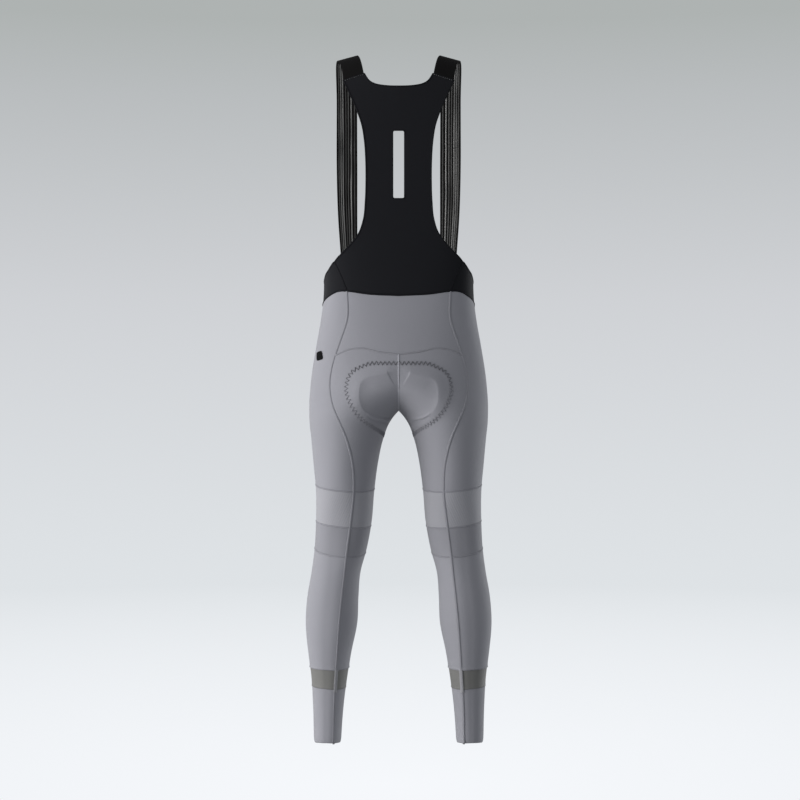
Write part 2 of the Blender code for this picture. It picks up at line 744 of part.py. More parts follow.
def make_bib(garment, cutters):
    outer, inner = half_cloth(bib_back_net(), BIB_WALL, ("bottom",))
    # Only the side seam and the shoulder seam of the back panel meet another piece.
    seamed_outer, seamed_inner = half_cloth(bib_back_net(), BIB_WALL, ("bottom", "right", "top"))
    seamed = np.zeros(outer.shape[:2], bool)
    seamed[: BIB_SIDE_ROWS + 1, -1] = True
    seamed[-1, NECK_COLUMNS:] = True
    outer[seamed], inner[seamed] = seamed_outer[seamed], seamed_inner[seamed]
    panel = sewn_piece("bib_back", both_halves(outer), both_halves(inner), "black_jersey", garment)
    cut_slot(panel, cutters)

    outer, inner = half_cloth(bib_front_net(), BIB_WALL, ("right", "bottom", "top"))
    sewn_piece("bib_front", both_halves(outer), both_halves(inner), "black_jersey", garment)

    net = strap_net()
    ribs = strap_ribs()[None, :]
    outer, inner = half_cloth(net, STRAP_WALL + ribs, ("bottom", "top"))
    normals = (outer - inner) / np.linalg.norm(outer - inner, axis=2, keepdims=True)
    raised = normals * ribs[..., None]
    pair("strap", outer + raised, inner + raised, "black_elastic", garment)


def make_tights(garment):
    outer, inner = half_cloth(yoke_net(), TIGHTS_WALL, ("right", "bottom", "top"), relief=True)
    sewn_piece("back_yoke", both_halves(outer), both_halves(inner), "grey_jersey", garment)
    for name, net in (("seat", seat_net()), ("thigh", thigh_net())):
        layers = half_cloth(net, TIGHTS_WALL, ("left", "right", "bottom", "top"), relief=True)
        outer, inner = (kept_off_middle(layer) for layer in layers)
        pair(name, outer, inner, "grey_jersey", garment)
    for piece in LEG_PIECES:
        seams = ("left", "right", "top") if piece.bottom is HEM else ("left", "right", "bottom", "top")
        outer, inner = half_cloth(leg_piece_net(piece), piece.wall, seams)
        pair(piece.name, outer, inner, piece.material, garment)


def make_pad(garment):
    net = pad_net()
    thickness = pad_thickness(net.shape[:2])
    outer, inner = half_cloth(net, thickness, (), lift=-(TIGHTS_WALL + PAD_GAP), relief=True)
    sewn_piece("seat_pad", both_halves(outer), both_halves(inner), "pad_foam", garment)


def make_trims(garment):
    seam = back_seam_angle((TAPE_TOP_Z + TAPE_BOTTOM_Z) / 2)
    net = trim_net(
        seam - TAPE_HALF_ANGLE, seam + TAPE_HALF_ANGLE, TAPE_BOTTOM_Z, TAPE_TOP_Z,
        TAPE_COLUMNS, TAPE_ROWS,
    )
    outer, inner = half_cloth(net, LABEL_WALL, (), lift=TRIM_GAP + LABEL_WALL)
    pair("seam_tape", outer, inner, "grey_jersey", garment)

    angle, z = LABEL_MIDDLE
    net = trim_net(
        angle - LABEL_HALF_ANGLE, angle + LABEL_HALF_ANGLE,
        z - LABEL_HALF_HEIGHT, z + LABEL_HALF_HEIGHT, LABEL_COLUMNS, LABEL_ROWS,
        LABEL_TILT, LABEL_LEAN,
    )
    outer, inner = half_cloth(net, LABEL_WALL, (), lift=TRIM_GAP + LABEL_WALL)
    flip = np.array((-1.0, 1.0, 1.0))
    sewn_piece("hip_label", outer * flip, inner * flip, "black_label", garment)


def main():
    for old in list(bpy.data.objects):
        bpy.data.objects.remove(old)
    garment = bpy.data.collections.new("cycling_bib_tights")
    cutters = bpy.data.collections.new("cutters")
    for collection in (garment, cutters):
        bpy.context.scene.collection.children.link(collection)
    make_bib(garment, cutters)
    make_tights(garment)
    make_pad(garment)
    make_trims(garment)


main()
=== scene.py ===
"""The cloth, seams, pad and studio of a pair of cycling bib tights, as an add-on.

Sizes are in metres. x runs to the wearer's right, y to the front and z up from the shoulders.
Cloth is laid out in form coordinates: an angle round the section of one half, in degrees
from the outer side (0) to the front (90), and a level. The level is the height, but above the
chest it is the way along the shoulder towards its ridge at 0.
"""

import math
from collections import namedtuple
from contextlib import contextmanager

import bmesh
import bpy
import numpy as np
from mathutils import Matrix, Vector


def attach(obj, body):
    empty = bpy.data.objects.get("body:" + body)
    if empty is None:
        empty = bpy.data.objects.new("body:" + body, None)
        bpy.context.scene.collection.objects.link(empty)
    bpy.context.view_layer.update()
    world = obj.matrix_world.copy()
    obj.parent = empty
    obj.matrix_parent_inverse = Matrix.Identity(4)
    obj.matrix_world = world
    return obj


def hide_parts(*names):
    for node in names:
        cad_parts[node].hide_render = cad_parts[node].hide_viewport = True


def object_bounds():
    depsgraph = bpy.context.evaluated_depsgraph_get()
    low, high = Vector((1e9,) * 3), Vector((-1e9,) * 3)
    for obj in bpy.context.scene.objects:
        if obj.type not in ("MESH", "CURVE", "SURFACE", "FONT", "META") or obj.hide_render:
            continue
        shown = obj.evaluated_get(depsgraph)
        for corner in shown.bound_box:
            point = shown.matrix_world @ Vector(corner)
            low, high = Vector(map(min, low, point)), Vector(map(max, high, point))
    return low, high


bl_info = {
    "name": "Cycling Bib Tights",
    "version": (1, 0, 0),
    "blender": (4, 5, 0),
    "location": "3D View > Sidebar > Tights",
    "description": "Builds the cloth, seams, seat pad and studio of cycling bib tights",
    "category": "Object",
}

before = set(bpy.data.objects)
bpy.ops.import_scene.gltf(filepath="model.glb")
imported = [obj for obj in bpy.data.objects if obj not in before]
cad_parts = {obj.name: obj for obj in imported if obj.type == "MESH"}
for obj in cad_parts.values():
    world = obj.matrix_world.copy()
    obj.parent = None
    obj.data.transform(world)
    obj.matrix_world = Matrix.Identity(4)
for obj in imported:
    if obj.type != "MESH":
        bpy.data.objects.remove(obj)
CAD_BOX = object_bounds()


def rows_of(kind, *rows):
    """A table's rows with named columns."""
    return tuple(kind(*row) for row in rows)


CROTCH_Z = -0.690
SHOULDER_RISE = 0.150
SHOULDER_SLOPE = 0.27
RIDGE_X = 0.117
INSEAM_FROM_BACK_SEAM = 270.0

Section = namedtuple("Section", "z outer inner back front square")
SECTIONS = rows_of(
    Section,
    (-1.400, 0.165, 0.115, 0.069, 0.012, 0.00),
    (-1.346, 0.166, 0.114, 0.069, 0.012, 0.00),
    (-1.262, 0.168, 0.108, 0.072, 0.013, 0.00),
    (-1.210, 0.171, 0.101, 0.079, 0.016, 0.00),
    (-1.163, 0.177, 0.093, 0.087, 0.021, 0.00),
    (-1.104, 0.182, 0.081, 0.092, 0.029, 0.00),
    (-1.055, 0.179, 0.079, 0.089, 0.035, 0.00),
    (-1.006, 0.171, 0.075, 0.078, 0.043, 0.00),
    (-0.966, 0.166, 0.064, 0.068, 0.051, 0.01),
    (-0.907, 0.163, 0.053, 0.068, 0.060, 0.02),
    (-0.848, 0.163, 0.048, 0.082, 0.068, 0.01),
    (-0.789, 0.168, 0.040, 0.096, 0.074, 0.00),
    (-0.743, 0.172, 0.030, 0.107, 0.078, 0.00),
    (-0.714, 0.175, 0.019, 0.115, 0.082, 0.00),
    (-0.702, 0.1755, 0.011, 0.118, 0.084, 0.00),
    (CROTCH_Z, 0.1757, 0.000, 0.120, 0.086, 0.00),
    (-0.680, 0.1757, -0.013, 0.122, 0.088, 0.00),
    (-0.668, 0.1753, -0.034, 0.123, 0.091, 0.00),
    (-0.650, 0.174, -0.075, 0.123, 0.094, 0.00),
    (-0.628, 0.172, -0.124, 0.121, 0.096, 0.01),
    (-0.608, 0.1695, -0.158, 0.117, 0.098, 0.02),
    (-0.588, 0.1665, -0.1665, 0.111, 0.100, 0.03),
    (-0.560, 0.1620, -0.1620, 0.102, 0.102, 0.03),
    (-0.513, 0.154, -0.154, 0.088, 0.103, 0.04),
    (-0.470, 0.149, -0.149, 0.079, 0.104, 0.05),
    (-0.430, 0.148, -0.148, 0.076, 0.105, 0.06),
    (-0.380, 0.151, -0.151, 0.078, 0.108, 0.07),
    (-0.320, 0.158, -0.158, 0.085, 0.112, 0.08),
    (-0.260, 0.166, -0.166, 0.094, 0.115, 0.08),
    (-0.200, 0.172, -0.172, 0.100, 0.114, 0.08),
    (-SHOULDER_RISE, 0.174, -0.174, 0.101, 0.110, 0.08),
)

SeamPoint = namedtuple("SeamPoint", "z x")
BACK_SEAM = rows_of(
    SeamPoint,
    (-1.346, 0.1292), (-1.262, 0.1270), (-1.183, 0.1220), (-1.072, 0.1135), (-0.975, 0.1028),
    (-0.905, 0.0936), (-0.845, 0.0871), (-0.793, 0.0890), (-0.764, 0.0950), (-0.735, 0.1043),
    (-0.709, 0.1158), (-0.681, 0.1275), (-0.641, 0.1339), (-0.602, 0.1290), (-0.557, 0.1144),
    (-0.512, 0.1005), (-0.457, 0.1009),
)
BIB_SIDE_SEAM = rows_of(
    SeamPoint,
    (-0.457, 0.1009), (-0.437, 0.1085), (-0.420, 0.1158), (-0.401, 0.1250),
)
BIB_OUTLINE = rows_of(
    SeamPoint,
    (-0.401, 0.1250), (-0.3935, 0.1190), (-0.386, 0.1112), (-0.377, 0.1022), (-0.3655, 0.0908),
    (-0.348, 0.0776), (-0.322, 0.0680), (-0.284, 0.0637), (-0.245, 0.0624), (-0.207, 0.0628),
    (-0.168, 0.0655), (-0.139, 0.0704), (-0.111, 0.0799), (-0.074, 0.0960), (-0.0493, 0.1071),
)
NECKLINE = rows_of(
    SeamPoint,
    (-0.0636, 0.0), (-0.0630, 0.0190), (-0.0607, 0.0370), (-0.0570, 0.0490), (-0.0515, 0.0573),
    (-0.0440, 0.0627), (-0.0358, 0.0671),
)
SHOULDER_SEAM_OUT = SeamPoint(-0.0493, 0.1071)

RoundPoint = namedtuple("RoundPoint", "angle z")
WAIST_SEAM = rows_of(
    RoundPoint,
    (-90, -0.4666), (-69, -0.4630), (-58, -0.4586), (-47, -0.4570), (-28, -0.4670),
    (0, -0.4820), (45, -0.5000), (90, -0.5060),
)
YOKE_SEAM = rows_of(
    RoundPoint,
    (-90, -0.5817), (-78, -0.5770), (-67, -0.5700), (-57, -0.5725), (-49, -0.5800),
    (-41, -0.5890),
)
BIB_FRONT_TOP = rows_of(
    RoundPoint,
    (-41, -0.4010), (-36, -0.4080), (-30, -0.4155), (-21, -0.4228), (-12, -0.4310),
    (0, -0.4375), (25, -0.4400), (45, -0.4390), (65, -0.4440), (90, -0.4490),
)

# A strap's sheer lines: the share of its width from its outer edge, and how sheer they are.
SheerLine = namedtuple("SheerLine", "share sheer")
SHEER_LINES = rows_of(
    SheerLine,
    (0.112, 0.34), (0.212, 0.42), (0.312, 0.72), (0.445, 0.22), (0.565, 0.28), (0.708, 0.95),
    (0.866, 0.30),
)
SHEER_CORE, SHEER_EDGE = 0.006, 0.021
STRAP_WIDTH, STRAP_PLAIN_END, STRAP_PLAIN_FADE = 0.040, 0.106, 0.006

StrapEdge = namedtuple("StrapEdge", "way inner outer")
STRAP_EDGES = rows_of(
    StrapEdge,
    (-0.440, 0.0820, 0.1125),
    (-0.376, 0.0835, 0.1170),
    (-0.300, 0.0840, 0.1225),
    (-0.200, 0.0840, 0.1255),
    (-0.100, 0.0842, 0.1250),
    (0.000, 0.0838, 0.1220),
    (0.040, 0.0752, 0.1142),
    (0.0788, 0.0671, 0.1071),
)

LegSeam = namedtuple("LegSeam", "z outer_rise front_rise")
KNEE_TOP = LegSeam(-0.8402, 0.0042, 0.0063)
KNEE_MIDDLE = LegSeam(-0.9120, 0.0050, 0.0050)
KNEE_BOTTOM = LegSeam(-0.9652, 0.0048, 0.0087)
BAND_TOP = LegSeam(-1.1915, 0.0005, 0.0)
BAND_BOTTOM = LegSeam(-1.2295, 0.0015, 0.0)
HEM = LegSeam(-1.3400, 0.0, -0.0040)
THREAD_TAIL = 0.0012
RIDGE_TOP_Z, RIDGE_FADE = -0.790, 0.220
RIDGE_OUTER_SHARE, RIDGE_OUTER_POWER, RIDGE_INNER_WIDTH = 0.50, 1.3, 0.0200

# The lower leg's pieces: how far each lower edge stands out, and its top seam's share of a seam.
LegPiece = namedtuple("LegPiece", "name top bottom rows flare finish upper seam")
LEG_PIECES = rows_of(
    LegPiece,
    ("knee_upper", KNEE_TOP, KNEE_MIDDLE, 30, 0.0, "knee mesh", "thigh", 0.75),
    ("knee_lower", KNEE_MIDDLE, KNEE_BOTTOM, 24, 0.0, "lower knee jersey", "knee_upper", 0.75),
    ("calf", KNEE_BOTTOM, BAND_TOP, 90, 0.0016, "tights jersey", "knee_lower", 0.75),
    ("calf_band", BAND_TOP, BAND_BOTTOM, 20, 0.0008, "calf band", "calf", 0.55),
    ("cuff", BAND_BOTTOM, HEM, 60, -0.0018, "tights jersey", "calf_band", 0.55),
)
FLARE_REACH = 0.004

# The seat pad's stitching on one half: seen from behind, and then round the thigh in angles.
StitchPoint = namedtuple("StitchPoint", "x z")
STITCH_BEHIND = rows_of(
    StitchPoint,
    (0.000, -0.5992), (0.028, -0.5992), (0.055, -0.5996), (0.072, -0.6060), (0.089, -0.6150),
    (0.0985, -0.6310), (0.1010, -0.6520), (0.0950, -0.6720), (0.0835, -0.6930),
    (0.0710, -0.7070), (0.0550, -0.7190),
)
STITCH_BELOW = rows_of(
    RoundPoint,
    (-142, -0.7280), (-165, -0.7360), (-190, -0.7380), (-215, -0.7300), (-236, -0.7150),
    (-254, -0.6950), (-266, -0.6720), (-272, -0.6500), (-271, -0.6400),
)
# The pad's thick core under the seat cloth on one half, seen from behind: its crisp edge over
# the top and the side, the notch between the two cores, and the fold under each core.
CORE_EDGE = rows_of(
    StitchPoint,
    (0.0220, -0.6190), (0.0400, -0.6230), (0.0600, -0.6280), (0.0700, -0.6350),
    (0.0745, -0.6470), (0.0755, -0.6610), (0.0740, -0.6745), (0.0690, -0.6860),
    (0.0600, -0.6960),
)
CORE_FOLD = rows_of(
    StitchPoint,
    (0.0600, -0.6960), (0.0448, -0.7037), (0.0248, -0.7087), (0.0159, -0.7087),
)
NOTCH_TOP, NOTCH_BOTTOM = StitchPoint(0.0220, -0.6190), StitchPoint(0.0100, -0.6400)
PAST_MIDDLE_X, ABOVE_PAD_Z = -0.001, -0.600
RIM_FALL_OUT, RIM_FALL_IN = 0.016, 0.011
BETWEEN_CORES_Z, CORES_TOP_Z, CORES_TOP_FADE = -0.66, -0.610, 0.014
NOTCH_SIDE_FADE = 0.0028
NOTCH_HIGH_Z, NOTCH_HIGH_FADE, NOTCH_LOW_Z, NOTCH_LOW_FADE = -0.613, 0.009, -0.648, 0.020
FOLD_INSIDE, FOLD_OUTSIDE, FOLD_OUTSIDE_SHARE = 0.0027, 0.0018, 0.5
TROUGH_OFF, TROUGH_WIDTH, TROUGH_SHARE = 0.0050, 0.0030, 0.6
FOLD_END_PAST, FOLD_END_FADE = 0.006, 0.016

# Where the pad shows through the seat, and how its lift fades at its stitching and sideways.
PAD_NEAR_X, PAD_NEAR_LOW_Z, PAD_NEAR_HIGH_Z = 0.125, -0.750, -0.580
STITCH_BOTTOM = rows_of(StitchPoint, (0.030, -0.726), (0.0, -0.732))
PAD_LIFT_PAST, PAD_LIFT_FADE = 0.001, 0.006
GROOVE_WIDTH, GROOVE_DEPTH = 0.0040, 0.0001
PAD_FADE_Y, PAD_FADE_DEPTH = 0.006, 0.045

PAD_EDGE_POINTS = rows_of(
    RoundPoint,
    (-64, -0.609), (-57, -0.625), (-59, -0.645), (-75, -0.667), (-96, -0.688), (-116, -0.704),
    (-140, -0.720), (-165, -0.733), (-190, -0.735), (-215, -0.727), (-236, -0.712),
    (-254, -0.692), (-268, -0.670), (-276, -0.650), (-274, -0.643),
)
PAD_TOP_Z, PAD_FRONT_Z = -0.602, -0.640
PAD_GAP, PAD_EDGE, PAD_CORE = 0.0019, 0.0025, 0.0075
PAD_POWER_UP, PAD_POWER_OVER = 0.5, 0.8

SLOT_HALF_WIDTH = 0.0108
SLOT_BOTTOM_Z, SLOT_TOP_Z = -0.280, -0.151
SLOT_CORNER = 0.003
SLOT_Y, SLOT_DEPTH = -0.095, 0.080

TAPE_HALF_WIDTH, TAPE_TOP_Z, TAPE_BOTTOM_Z = 0.0026, -1.190, -1.236
LABEL_MIDDLE = RoundPoint(-24.0, -0.5835)
LABEL_HALF_ANGLE, LABEL_HALF_HEIGHT = 6.0, 0.0085
LABEL_TILT, LABEL_LEAN = -0.0017, 2.2

# Worn cloth is longer and wider than its cut: round the body and along it.
Stretch = namedtuple("Stretch", "around along")
JERSEY_STRETCH = Stretch(1.20, 1.04)
ELASTIC_STRETCH = Stretch(1.00, 1.20)
TRIM_STRETCH = Stretch(1.00, 1.00)

# What a finish goes with: a material slot, and for cloth its wall and its stretch.
Finish = namedtuple("Finish", "slot wall stretch", defaults=(None, None))
FINISHES = {
    "tights jersey": Finish("grey_jersey", "wall", JERSEY_STRETCH),
    "lower knee jersey": Finish("grey_jersey", "wall", JERSEY_STRETCH),
    "knee mesh": Finish("grey_mesh", "wall", JERSEY_STRETCH),
    "calf band": Finish("reflective_band", "wall", JERSEY_STRETCH),
    "bib jersey": Finish("black_jersey", "bib_wall", JERSEY_STRETCH),
    "strap elastic": Finish("black_elastic", "strap_wall", ELASTIC_STRETCH),
    "label satin": Finish("black_label", "trim_wall", TRIM_STRETCH),
    "seam tape": Finish("grey_jersey", "trim_wall"),
    "pad cloth": Finish("pad_foam"),
    "grey seam": Finish("grey_jersey"),
    "middle seam": Finish("grey_jersey"),
    "zigzag thread": Finish("grey_jersey"),
    "black seam": Finish("black_jersey"),
    "shoulder stitch": Finish("black_jersey"),
}
# Jerseys and threads: a colour and its share, a pitch and a gloss.
Knit = namedtuple("Knit", "colour share pitch mottle sheen specular")
KNITS = {
    "tights jersey": Knit("jersey", 1.00, 0.0011, 0.03, 0.16, 0.25),
    "bib jersey": Knit("black", 1.00, 0.0012, 0.10, 0.07, 0.05),
    "lower knee jersey": Knit("jersey", 0.92, 0.0010, 0.03, 0.14, 0.25),
    "seam tape": Knit("tape", 1.00, 0.0009, 0.03, 0.20, 0.25),
    "pad cloth": Knit("pad", 1.00, 0.0014, 0.08, 0.25, 0.25),
    "label satin": Knit("label", 1.00, 0.0007, 0.05, 0.00, 0.06),
}
Thread = namedtuple("Thread", "colour share pitch sheen specular")
THREADS = {
    "grey seam": Thread("jersey", 0.95, 0.0021, 0.08, 0.20),
    "middle seam": Thread("jersey", 1.40, 0.0021, 0.15, 0.30),
    "black seam": Thread("black", 0.85, 0.0021, 0.00, 0.05),
    "shoulder stitch": Thread("stitch", 1.00, 0.0010, 0.15, 0.30),
}
# Painted shade on the pad stitching: its thread is darker along the top of the pad and nearly the
# cloth's colour lower down, between these heights.
ZIGZAG_HIGH_SHADE, ZIGZAG_LOW_SHADE, ZIGZAG_PITCH = 0.54, 0.90, 0.0010
ZIGZAG_LOW_Z, ZIGZAG_HIGH_Z = -0.662, -0.612
ZIGZAG_POINTS, ZIGZAG_SHARPNESS, ZIGZAG_LIFT = 8, 0.98, 0.30

FLOOR_Z = -1.430
CAMERA_Z = -0.6695
STAGE_RADIUS, STAGE_SWEEP, STAGE_HEIGHT = 4.4, 1.8, 6.0
RAMP_TOP_Z, FLOOR_SHARE, WALL_SHARE = 1.24, 0.3, 0.7
ROOM_COLOUR = (0.93, 0.96, 1.0, 1.0)
# The backdrop's painted light: the tones of its glow, pale at the floor's middle and darker out
# and up the wall.
Tone = namedtuple("Tone", "way red green blue")
BACKDROP_TONES = rows_of(
    Tone,
    (0.00, 0.920, 0.940, 0.970),
    (0.30, 0.735, 0.765, 0.790),
    (0.63, 0.625, 0.640, 0.665),
    (0.90, 0.485, 0.505, 0.515),
    (1.00, 0.425, 0.450, 0.445),
)

Lamp = namedtuple("Lamp", "name power size place colour")
LAMPS = rows_of(
    Lamp,
    ("key_light", "key", 4.6, (-3.9, -1.45, -0.4), (1.0, 0.99, 0.985)),
    ("fill_light", "fill", 3.0, (3.1, 2.5, -0.95), (0.97, 0.985, 1.0)),
    ("rim_light", "rim", 2.6, (-3.1, 2.5, -0.75), (1.0, 1.0, 1.0)),
    ("top_light", "top", 2.6, (0.2, -2.4, 2.2), (1.0, 1.0, 1.0)),
)

SEAM_STEP = 0.004
SLOT_EDGE_STEP, SLOT_EDGE_OUT = 0.0025, 0.0008
SLOT_EDGE_HALF_WIDTH, SLOT_EDGE_RISE = 0.0013, 0.0008
STITCH_DROP, STITCH_STEP, STITCH_LIFT = 0.0020, 0.0011, 0.0009
STITCH_HALF_WIDTH, STITCH_RISE = 0.00055, 0.0004
TAPE_LIFT, LABEL_LIFT = 0.0011, 0.0003
SAME_PLACE = 1e-5
MIRROR = np.array((-1.0, 1.0, 1.0))
SIDES = (("right", False), ("left", True))


class Curve:
    """A smooth curve through the rows of a table, keyed by the rows' first column."""

    def __init__(self, rows):
        table = np.array(sorted(rows), float)
        self.keys = table[:, 0]
        self.values = table[:, 1:]
        self.slopes = np.gradient(self.values, self.keys, axis=0)

    def at(self, key):
        key = np.clip(np.asarray(key, float), self.keys[0], self.keys[-1])
        high = np.clip(np.searchsorted(self.keys, key), 1, len(self.keys) - 1)
        low = high - 1
        step = (self.keys[high] - self.keys[low])[..., None]
        u = (key - self.keys[low])[..., None] / step
        ease = u * u * (3 - 2 * u)
        return (
            self.values[low] * (1 - ease)
            + self.values[high] * ease
            + self.slopes[low] * u * (1 - u) ** 2 * step
            + self.slopes[high] * u * u * (u - 1) * step
        )

    def first(self, key):
        """The curve's first value at key."""
        return self.at(key)[..., 0]


SHAPE = Curve(SECTIONS)
BACK_SEAM_X = Curve(BACK_SEAM)
BIB_SIDE_X = Curve(BIB_SIDE_SEAM)
BIB_OUTLINE_X = Curve(BIB_OUTLINE)
WAIST_Z = Curve(WAIST_SEAM)
YOKE_Z = Curve(YOKE_SEAM)
BIB_FRONT_Z = Curve(BIB_FRONT_TOP)
STRAP_X = Curve(STRAP_EDGES)


def along(rows, count):
    """count + 1 points of a smooth line through rows, spaced by their number."""
    line = Curve([(i, *row) for i, row in enumerate(rows)])
    return line.at(np.linspace(0, len(rows) - 1, count + 1))


def spread(low, high, count, power=1.0):
    """count + 1 values from low to high, closer together near low where power is over 1."""
    return low + (high - low) * np.linspace(0, 1, count + 1) ** power


def sheer_stops():
    """Shares of a strap's width from its outer edge, with how sheer it is at each."""
    stops = [(0.0, 0.0)]
    for line in SHEER_LINES:
        stops += [(line.share - SHEER_EDGE, 0.0), (line.share - SHEER_CORE, line.sheer)]
        stops += [(line.share + SHEER_CORE, line.sheer), (line.share + SHEER_EDGE, 0.0)]
    return [*stops, (1.0, 0.0)]


def unit(ways):
    return ways / np.linalg.norm(ways, axis=-1, keepdims=True)


def bell(off, width):
    return np.exp(-((off / width) ** 2))


def smooth_step(value):
    value = np.clip(value, 0.0, 1.0)
    return value * value * (3 - 2 * value)


def sections(level):
    return np.moveaxis(SHAPE.at(np.minimum(level, -SHOULDER_RISE)), -1, 0)


def oval(angle, square):
    """Across and depth of a squared oval, each from -1 to 1."""
    turn = np.radians(angle)
    across = np.cos(turn) - square * np.cos(3 * turn)
    depth = np.sin(turn) + square * np.sin(3 * turn)
    return across / (1 - square), depth / (1 - square)


def form_point(places):
    """Points of the wearer's right half at form coordinates."""
    angle, level = places[..., 0], places[..., 1]
    outer, inner, back, front, square = sections(level)
    across, depth = oval(angle, square)
    x = (outer + inner + (outer - inner) * across) / 2
    y = (front - back + (front + back) * depth) / 2
    above = level > -SHOULDER_RISE
    bend = np.where(above, -level / SHOULDER_RISE, 1.0) * math.pi / 2
    droop = SHOULDER_SLOPE * (RIDGE_X - np.abs(x))
    z = np.where(above, -SHOULDER_RISE + (SHOULDER_RISE + droop) * np.cos(bend), level)
    return np.stack([x, y * np.sin(bend), z], -1)


def form_normal(places):
    """The outward direction of the form."""
    turn, rise = np.array((0.4, 0.0)), np.array((0.0, 0.0004))
    around = form_point(places + turn) - form_point(places - turn)
    up = form_point(places + rise) - form_point(places - rise)
    normal = unit(np.cross(around, up))
    outer, inner, back, front, _ = sections(places[..., 1])
    inside = np.stack([
        (outer + inner) / 2,
        (front - back) / 2,
        np.minimum(places[..., 1], -SHOULDER_RISE),
    ], -1)
    outward = ((form_point(places) - inside) * normal).sum(-1, keepdims=True)
    return normal * np.sign(outward)


def angle_at_x(x, level):
    """The angle, from 0 to 180, at which the form's section reaches x."""
    outer, inner, _, _, square = sections(level)
    low = np.zeros(np.broadcast(x, level).shape)
    high = low + 180.0
    for _ in range(36):
        middle = (low + high) / 2
        past = (outer + inner) / 2 + (outer - inner) / 2 * oval(middle, square)[0] > x
        low, high = np.where(past, middle, low), np.where(past, high, middle)
    return (low + high) / 2


def centre_angle(z):
    """The angle at which a section meets the middle plane."""
    z = np.asarray(z, float)
    return np.where(z <= CROTCH_Z, 180.0, angle_at_x(0.0, z))


def back_seam_angle(z):
    z = np.asarray(z, float)
    return -angle_at_x(BACK_SEAM_X.first(z), z)


def level_at(x, z):
    """The level of a height, which differs from it only on the shoulder."""
    droop = SHOULDER_SLOPE * (RIDGE_X - np.abs(x))
    share = np.clip((z + SHOULDER_RISE) / (SHOULDER_RISE + droop), 0.0, 1.0)
    return np.where(z <= -SHOULDER_RISE, z, -SHOULDER_RISE * np.arccos(share) / (math.pi / 2))


def on_back(x, z):
    """Form coordinates of the back at x and z."""
    level = level_at(x, z)
    return np.stack([-angle_at_x(x, level), level], -1)


def places(angle, z):
    return np.stack(np.broadcast_arrays(np.asarray(angle, float), np.asarray(z, float)), -1)


def leg_seam_z(seam, angle):
    turn = np.radians(angle)
    return seam.z + seam.outer_rise * np.cos(turn) + seam.front_rise * np.sin(turn)


def leg_seam_start(seam):
    """The angle at which a seam round the leg crosses the back seam."""
    return float(back_seam_angle(seam.z - seam.front_rise))


def leg_ring(seam, first, last, columns):
    angles = leg_seam_start(seam) + spread(first, last, columns)
    return places(angles, leg_seam_z(seam, angles))


def filled(left, right, bottom, top):
    """Rows of points filling four edges that share their corners."""
    up = np.linspace(0, 1, len(left))[:, None, None]
    over = np.linspace(0, 1, len(bottom))[None, :, None]
    left, right, bottom, top = left[:, None], right[:, None], bottom[None], top[None]
    corners = (
        (1 - up) * ((1 - over) * bottom[:, :1] + over * bottom[:, -1:])
        + up * ((1 - over) * top[:, :1] + over * top[:, -1:])
    )
    return (1 - over) * left + over * right + (1 - up) * bottom + up * top - corners


def inseam(rows):
    """The inseam on the seat side, from the knee seam up to the crotch."""
    ring_start = leg_seam_start(KNEE_TOP) + INSEAM_FROM_BACK_SEAM
    end = leg_seam_z(KNEE_TOP, ring_start)
    zs = spread(CROTCH_Z, end, rows, 1.3)[::-1]
    knee_z = leg_seam_z(KNEE_TOP, 180.0)
    share = (CROTCH_Z - zs) / (CROTCH_Z - knee_z)
    line = places(-180 + share * (ring_start - 360 + 180), zs)
    line[0] = (ring_start - 360, end)
    return line


def yoke_end():
    """The height at which the yoke seam runs into the back seam."""
    z = YOKE_SEAM[-1].z
    for _ in range(6):
        z = float(YOKE_Z.first(back_seam_angle(z)))
    return z


def back_seam_rows(low, high, rows):
    zs = spread(low, high, rows)
    return places(back_seam_angle(zs), zs)


def waist_corner():
    """The angle and height at which the back seam meets the waist seam."""
    angle = float(back_seam_angle(BACK_SEAM[-1].z))
    return angle, float(WAIST_Z.first(angle))


def round_seam(curve, first, last, columns):
    angles = spread(first, last, columns)
    return places(angles, curve.first(angles))


def seat_net(columns, rows_below, rows_above):
    knee = leg_ring(KNEE_TOP, INSEAM_FROM_BACK_SEAM - 360, 0, columns)
    yoke = round_seam(YOKE_Z, -90.0, float(back_seam_angle(yoke_end())), columns)
    zs = spread(CROTCH_Z, yoke[0, 1], rows_above, 1.7)[1:]
    left = np.concatenate([inseam(rows_below), places(-centre_angle(zs), zs)])
    right = back_seam_rows(knee[-1, 1], yoke[-1, 1], len(left) - 1)
    return filled(left, right, knee, yoke)


def thigh_net(columns, rows_below, rows_seat, rows_yoke):
    knee = leg_ring(KNEE_TOP, 0, INSEAM_FROM_BACK_SEAM, columns)
    corner_angle, corner_z = waist_corner()
    waist = round_seam(WAIST_Z, corner_angle, 90.0, columns)
    left = np.concatenate([
        back_seam_rows(knee[0, 1], yoke_end(), rows_below + rows_seat),
        back_seam_rows(yoke_end(), corner_z, rows_yoke)[1:],
    ])
    above = spread(CROTCH_Z, waist[-1, 1], rows_seat + rows_yoke, 1.5)[1:]
    lower = inseam(rows_below) + (360.0, 0.0)
    right = np.concatenate([lower, places(centre_angle(above), above)])
    return filled(left, right, knee, waist)


def yoke_net(columns, rows):
    corner_angle, corner_z = waist_corner()
    low = yoke_end()
    bottom = round_seam(YOKE_Z, -90.0, float(back_seam_angle(low)), columns)
    top = round_seam(WAIST_Z, -90.0, corner_angle, columns)
    left = places(-90.0, spread(bottom[0, 1], top[0, 1], rows))
    return filled(left, back_seam_rows(low, corner_z, rows), bottom, top)


def leg_piece_net(piece, columns):
    bottom = leg_ring(piece.bottom, 0, 360, columns)
    top = leg_ring(piece.top, 0, 360, columns)
    left = back_seam_rows(bottom[0, 1], top[0, 1], piece.rows)
    return filled(left, left + (360.0, 0.0), bottom, top)


